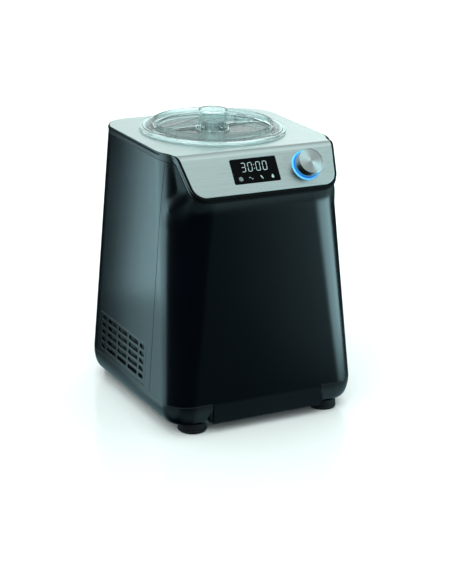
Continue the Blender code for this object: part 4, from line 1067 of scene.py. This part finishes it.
def icon_outlines():
    """Small generic symbols: a snowflake, a wave, a leaf and a drop."""
    outlines = []
    flake = Vector((-0.0310, 0.0))
    for i in range(6):
        away = Vector((cos(pi / 3 * i + pi / 6), sin(pi / 3 * i + pi / 6)))
        outlines.append(bar(flake + away * 0.0004, flake + away * 0.0030, 0.0005, 0.0))
        for turn in (-1, 1):
            twig = Vector((cos(pi / 3 * i + pi / 6 + turn * 0.9), sin(pi / 3 * i + pi / 6 + turn * 0.9)))
            start = flake + away * 0.0017
            outlines.append(bar(start + twig * 0.0003, start + twig * 0.0014, 0.0004, 0.0))
    wave = []
    for i in range(15):
        wave.append((-0.0200 + 0.0055 * i / 14, 0.0010 * sin(2 * pi * i / 14) + 0.0006 - 0.0012 * i / 14))
    outlines.append([(x, y + 0.0003) for x, y in wave] + [(x, y - 0.0003) for x, y in wave[::-1]])
    leaf = [Vector((-0.0042, 0.0026)), Vector((-0.0012, -0.0028))]
    along = (leaf[1] - leaf[0]).normalized()
    across = Vector((-along.y, along.x))
    length = (leaf[1] - leaf[0]).length
    bulge = [(t / 10, 0.0011 * sin(pi * (t / 10) ** 0.8)) for t in range(11)]
    upper = [tuple(leaf[0] + along * length * t + across * w) for t, w in bulge]
    lower = [tuple(leaf[0] + along * length * t - across * w * 0.6) for t, w in bulge[::-1][1:-1]]
    outlines.append(upper + lower)
    drop = Vector((0.0122, -0.0006))
    tip = [(drop.x, drop.y + 0.0034)]
    outlines.append(tip + arc(drop.x, drop.y, 0.0018, radians(150), radians(390), 14))
    return outlines


def make_knob():
    place = on_fascia(KNOB_X, KNOB_S)
    ring = [(0.0046, 0.0006), (LIGHT_RING_RADIUS, 0.0006), (LIGHT_RING_RADIUS, -0.0030), (0.0046, -0.0030)]
    diffuser = turned("light_ring_diffuser", rounded(ring, 0.0004), place)
    finish(diffuser, "light", "housing", "light", "knob_light_ring")
    base = 0.0019
    face = KNOB_RADIUS - 0.0004
    body = [
        (0.0, KNOB_HEIGHT - 0.0010), (face - 0.0006, KNOB_HEIGHT - 0.0010),
        (face - 0.0003, KNOB_HEIGHT - 0.0004), (face + 0.0002, KNOB_HEIGHT - 0.0007),
        (KNOB_RADIUS, base), (KNOB_RADIUS - 0.0020, base), (KNOB_RADIUS - 0.0020, 0.0060),
        (0.0032, 0.0060), (0.0032, 0.0125), (0.0, 0.0125),
    ]
    turned_body = turned("knob_body", rounded(body, 0.0003), place, 96)
    finish(turned_body, "knob_side", "knob", "machined_steel", "knob")
    cap = [
        (0.0, KNOB_HEIGHT - 0.0002), (0.0006, KNOB_HEIGHT - 0.0003),
        (face - 0.0005, KNOB_HEIGHT - 0.0008), (face - 0.0005, KNOB_HEIGHT - 0.0009),
        (0.0, KNOB_HEIGHT - 0.0009),
    ]
    finish(turned("knob_face", rounded(cap, 0.0002), place, 96), "knob_face", "knob", "machined_steel")


# ---------------------------------------------------------------- lid, seal and what shows through them


LUG_ANGLES = (-98.0, 22.0, 142.0)
LUG_HALF_ANGLE = 7.3


def sector_outline(inner, outer, start, end, steps):
    outline = arc(0.0, 0.0, outer, radians(start), radians(end), steps)
    return outline + arc(0.0, 0.0, inner, radians(end), radians(start), steps)


def sector(name, inner, outer, start, end, low, high, edge=0.0, steps=24):
    """Part of a ring about the lid's axis, between two angles in degrees."""
    obj = flat_piece(name, [sector_outline(inner, outer, start, end, steps)], high - low, edge, 2)
    obj.data.transform(Matrix.Translation((0.0, 0.0, (low + high) / 2)))
    obj.matrix_world = Matrix.Translation((0.0, AXIS_Y, 0.0))
    return obj


def lid_profile():
    wall, hub = 0.0766, 0.0175
    under = LID_FLOOR - 0.0020
    return [
        (0.0, HUB_TOP - 0.0004), (0.0012, HUB_TOP - 0.0004), (0.0016, HUB_TOP),
        (hub + 0.0006, HUB_TOP - 0.0003), (hub + 0.0008, HUB_TOP - 0.0018),
        (hub - 0.0004, HUB_TOP - 0.0026), (hub - 0.0002, LID_FLOOR + 0.0060),
        (hub + 0.0008, LID_FLOOR + 0.0055), (hub + 0.0010, LID_FLOOR), (wall - 0.0032, LID_FLOOR),
        (wall - 0.0027, LID_LIP - 0.0005), (wall - 0.0018, LID_LIP), (wall - 0.0008, LID_LIP),
        (wall, LID_LIP - 0.0007), (wall + 0.0008, 0.3446), (0.0812, 0.3440), (0.0816, 0.3446),
        (0.0834, 0.3446), (0.0840, 0.3440), (0.0880, 0.3440), (0.0888, 0.3429), (0.0925, 0.3429),
        (0.0930, 0.3424), (0.0930, 0.3409), (0.0897, 0.3409), (0.0897, 0.3420), (0.0853, 0.3420),
        (0.0853, 0.3409), (0.0780, 0.3409), (0.0780, 0.3312), (0.0755, 0.3312), (0.0755, under),
        (hub - 0.0020, under), (hub - 0.0022, HUB_TOP - 0.0026), (0.0, HUB_TOP - 0.0026),
    ]


def lid_rib(name, angle):
    """A thin bar from the hub to the lid's lip, rounded along its top."""
    inner, outer = 0.0165, 0.0746
    outline = [(inner, RIB_BOTTOM), (outer, RIB_BOTTOM), (outer, LID_LIP - 0.0004)]
    for part in (0.75, 0.5, 0.25, 0):
        height = LID_LIP + (RIB_TOP - LID_LIP) * (1 - part) ** RIB_CURVE
        outline.append((inner + (outer - inner) * part, height))
    rib = flat_piece(name, [outline], 0.0022, 0.0005, 2)
    rib.data.transform(Matrix.Rotation(radians(angle), 4, "Z") @ Matrix.Rotation(pi / 2, 4, "X"))
    rib.location = (0.0, AXIS_Y, 0.0)
    return outward(rib)


def make_lid():
    lid = turned("lid_shell", rounded(lid_profile(), 0.0005, 2), segments=120)
    join(lid, *[lid_rib(f"rib_{i}", angle) for i, angle in enumerate(RIB_ANGLES)])
    cut(lid, sector("refill_hole", 0.0245, 0.0690, 25, 155, LID_FLOOR - 0.005, LID_FLOOR + 0.005))
    lugs = [
        sector(
            f"lug_{i}", 0.0765, 0.0833, angle - LUG_HALF_ANGLE, angle + LUG_HALF_ANGLE,
            0.3314, 0.3342, 0.0004, 8,
        )
        for i, angle in enumerate(LUG_ANGLES)
    ]
    join(lid, *lugs)
    finish(lid, "clear", "lid", "clear", "lid")
    seal = rounded([(0.0857, 0.3417), (0.0893, 0.3417), (0.0893, 0.3403), (0.0857, 0.3403)], 0.0005)
    finish(turned("lid_seal_ring", seal, segments=96), "silicone", "lid_seal", "silicone", "lid_seal")


def make_refill_cover():
    low = LID_FLOOR + 0.0005
    ring = [(0.0190, low + 0.0040), (0.0200, low + 0.0040), (0.0215, low + 0.0020)]
    ring += [(0.0215, low), (0.0190, low)]
    cover = turned("refill_cover_leaf", rounded(ring, 0.0004), segments=96)
    bottom = LID_FLOOR + 0.0003
    leaf = sector("leaf", 0.0197, 0.0728, 14, 166, bottom, bottom + 0.0020, 0.0004, 60)
    rim = sector("leaf_rim", 0.0700, 0.0720, 15, 165, bottom + 0.0012, bottom + 0.0034, 0.0004, 60)
    tab = sector("leaf_tab", 0.0600, 0.0718, 24, 36, bottom + 0.0012, bottom + 0.0052, 0.0006, 6)
    join(cover, leaf, rim, tab)
    finish(cover, "clear", "refill_cover", "clear", "refill_cover")


# ---------------------------------------------------------------- CAD pieces that stay


CARRIED = {
    "machined": (
        "encoder_shaft", "motor_rotor", "drive_motor", "drive_shaft", "lower_bearing", "upper_bearing",
        "idler_axle",
    ),
    "frame": ("lid_collar",),
    "rubber": (
        "compressor_grommet_1", "compressor_grommet_2", "compressor_grommet_3", "cord_gland", "shaft_seal",
    ),
    "aluminium": ("bowl", "evaporator_well"),
    "paddle": ("paddle",),
    "silicone": ("paddle_scraper",),
    "copper": ("evaporator_coil", "filter_drier", "discharge_pipe", "suction_pipe"),
    "foam": ("insulation_jacket",),
    "nylon": ("encoder_plunger", "output_gear", "idler_gear", "gearbox_housing", "gearbox_cover"),
    "black_steel": (
        "condenser", "encoder_body", "compressor", "foot_screw_front_left", "foot_screw_front_right",
        "foot_screw_rear_left", "foot_screw_rear_right",
    ),
    "shade": ("fan_frame", "fan_rotor"),
    "board": ("display_board", "control_board", "mains_board"),
}


def dress_carried():
    for look, names in CARRIED.items():
        for name in names:
            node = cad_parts[name]
            node.data.materials.clear()
            node.data.materials.append(MATERIALS[look])
            node.data.shade_smooth()
            node.data.set_sharp_from_angle(angle=radians(35))


# ---------------------------------------------------------------- studio


def make_floor():
    mesh = bpy.data.meshes.new("studio_floor")
    with editing(mesh) as shape:
        bmesh.ops.create_grid(shape, x_segments=8, y_segments=8, size=30.0)
    floor = object_from("studio_floor", mesh)
    look = Look("pale_floor", FLOOR_ROUGHNESS, specular=FLOOR_SPECULAR)
    pale = [FLOOR_ALBEDO * c for c in FLOOR_TINT]
    look.colour(look.noise(0.8, 2.0), pale, [1.03 * c for c in pale])
    floor.data.materials.append(look.material)
    floor.visible_glossy = False
    floor.visible_shadow = False


def panel_light(name, start, end, low, high, radiance, colour):
    """An upright soft box over a line on the floor, facing its left, that shows only in reflections."""
    start, end = Vector((*start, 0.0)), Vector((*end, 0.0))
    along = end - start
    data = bpy.data.lights.new(name, "AREA")
    data.shape = "RECTANGLE"
    data.size, data.size_y = along.length, high - low
    data.energy = radiance * pi * along.length * (high - low)
    data.color = colour
    lamp = object_from(name, data)
    lamp.location = (start + end) / 2 + Vector((0.0, 0.0, (low + high) / 2))
    lamp.rotation_mode = "QUATERNION"
    lamp.rotation_quaternion = Vector((-along.y, along.x, 0.0)).to_track_quat("-Z", "Y")
    lamp.visible_camera = False
    lamp.visible_diffuse = False
    lamp.visible_transmission = False
    return lamp


FLOOR_ALBEDO = 0.85
FLOOR_TINT = (0.91, 1.0, 0.985)
FLOOR_ROUGHNESS = 0.12
FLOOR_SPECULAR = 1.0
TEAL = (0.56, 0.92, 1.0)
PALE = (0.90, 1.0, 0.985)


def sun_light(name, energy, angle, azimuth, elevation):
    """A wide, soft sun that lights matt surfaces and doesn't show in reflections."""
    data = bpy.data.lights.new(name, "SUN")
    data.energy = energy
    data.angle = radians(angle)
    lamp = object_from(name, data)
    lamp.rotation_euler = (radians(90 - elevation), 0.0, radians(azimuth))
    lamp.visible_glossy = False
    return lamp


def make_lights():
    sun_light("overhead", 1.7, 60, 150, 78)
    sun_light("front_fill", 1.9, 60, -30, 35)
    sun_light("left_fill", 1.2, 60, -80, 30)
    left_start, left_end = (-0.271, 0.295), (-0.676, 0.125)
    for name, low, high, radiance in (
        ("left_softbox_foot", -0.18, 0.05, 1.35),
        ("left_softbox", 0.05, 0.28, 3.1),
        ("left_softbox_top", 0.28, 0.50, 2.4),
    ):
        panel_light(name, left_start, left_end, low, high, radiance, TEAL)
    middle = (0.10, -0.12)
    for name, start, end, low, radiance in (
        ("right_strip_far", -62, -54, -0.12, 0.6),
        ("right_strip_near", -54, -46, -0.12, 2.2),
        ("right_softbox", -46, 0, -0.12, 5.2),
    ):
        ends = [(middle[0] + cos(radians(a)), middle[1] + sin(radians(a))) for a in (start, end)]
        panel_light(name, *ends, low, 0.80, radiance, TEAL)
    world = bpy.context.scene.world or bpy.data.worlds.new("studio")
    bpy.context.scene.world = world
    world.use_nodes = True
    tree = world.node_tree
    tree.nodes.clear()
    coords = tree.nodes.new("ShaderNodeTexCoord")
    parts = tree.nodes.new("ShaderNodeSeparateXYZ")
    tree.links.new(coords.outputs["Generated"], parts.inputs[0])

    def band(source, start, end, low, high):
        made = add_node(tree, "ShaderNodeMapRange", i0=source, i1=start, i2=end, i3=low, i4=high)
        made.interpolation_type = "SMOOTHSTEP"
        return made.outputs[0]

    def math(operation, a, b):
        made = add_node(tree, "ShaderNodeMath", i0=a, i1=b)
        made.operation = operation
        return made.outputs[0]

    x, y, z = parts.outputs
    level = math("MULTIPLY", band(z, -0.10, 0.15, 0.0, 1.3), band(z, 0.18, 0.55, 1.0, 0.25))
    sideways = band(x, 0.36, 0.56, 1.0, 1.35)
    behind = math("MULTIPLY", math("MULTIPLY", band(y, 0.15, 0.70, 0.0, 1.0), level), sideways)
    above = math("MULTIPLY", band(z, 0.50, 0.82, 0.0, 1.0), band(y, -0.50, 0.50, 1.05, 0.68))
    under_back = math("MULTIPLY", band(z, -0.52, -0.36, 0.45, 0.0), band(y, 0.40, 0.80, 0.0, 1.0))
    under_front = math("MULTIPLY", band(z, -0.60, -0.40, 0.25, 0.0), band(y, -0.60, -0.20, 1.0, 0.0))
    under_left = math("MULTIPLY", band(z, -0.60, -0.15, 0.50, 0.0), band(x, -0.80, -0.55, 1.0, 0.0))
    under_right = math("MULTIPLY", band(z, -0.60, -0.20, 0.60, 0.0), band(x, 0.25, 0.60, 0.0, 1.0))
    below = math("ADD", math("ADD", under_back, under_front), math("ADD", under_left, under_right))
    total = math("ADD", math("MAXIMUM", behind, math("ADD", above, below)), 0.004)
    lit_world = tree.nodes.new("ShaderNodeBackground")
    tint = add_node(tree, "ShaderNodeMix", i0=band(z, -0.15, 0.05, 0.0, 1.0))
    tint.data_type = "RGBA"
    tint.inputs[6].default_value = (*TEAL, 1.0)
    tint.inputs[7].default_value = (*PALE, 1.0)
    tree.links.new(tint.outputs[2], lit_world.inputs[0])
    tree.links.new(total, lit_world.inputs[1])
    seen = tree.nodes.new("ShaderNodeBackground")
    seen.inputs[0].default_value = (1.0, 1.0, 1.0, 1.0)
    seen.inputs[1].default_value = 1.2
    path = tree.nodes.new("ShaderNodeLightPath")
    mix = tree.nodes.new("ShaderNodeMixShader")
    tree.links.new(path.outputs["Is Camera Ray"], mix.inputs[0])
    tree.links.new(lit_world.outputs[0], mix.inputs[1])
    tree.links.new(seen.outputs[0], mix.inputs[2])
    out = tree.nodes.new("ShaderNodeOutputWorld")
    tree.links.new(mix.outputs[0], out.inputs[0])
    bpy.context.scene.view_settings.view_transform = "Standard"


CAMERA_TURN = radians(-28.31), radians(18.97), radians(1.56)
CAMERA_LENS = 103.53
CAMERA_PLACE = (-0.96265, -1.80433, 0.83427)


def make_camera():
    azimuth, elevation, roll = CAMERA_TURN
    back = Vector((sin(azimuth) * cos(elevation), -cos(azimuth) * cos(elevation), sin(elevation)))
    right = Vector((cos(azimuth), sin(azimuth), 0.0))
    up = back.cross(right)
    across = right * cos(roll) + up * sin(roll)
    upright = up * cos(roll) - right * sin(roll)
    data = bpy.data.cameras.new("camera")
    data.lens = CAMERA_LENS
    data.sensor_width = 36.0
    camera = object_from("camera", data)
    camera.matrix_world = (
        Matrix.Translation(CAMERA_PLACE) @ Matrix((across, upright, back)).transposed().to_4x4()
    )
    bpy.context.scene.camera = camera


def main():
    make_front_shell()
    make_rear_shell()
    make_top_frame()
    make_base()
    make_feet()
    make_grilles()
    make_top_plate()
    make_display()
    make_knob()
    make_lid()
    make_refill_cover()
    dress_carried()
    make_floor()
    make_lights()
    make_camera()


main()
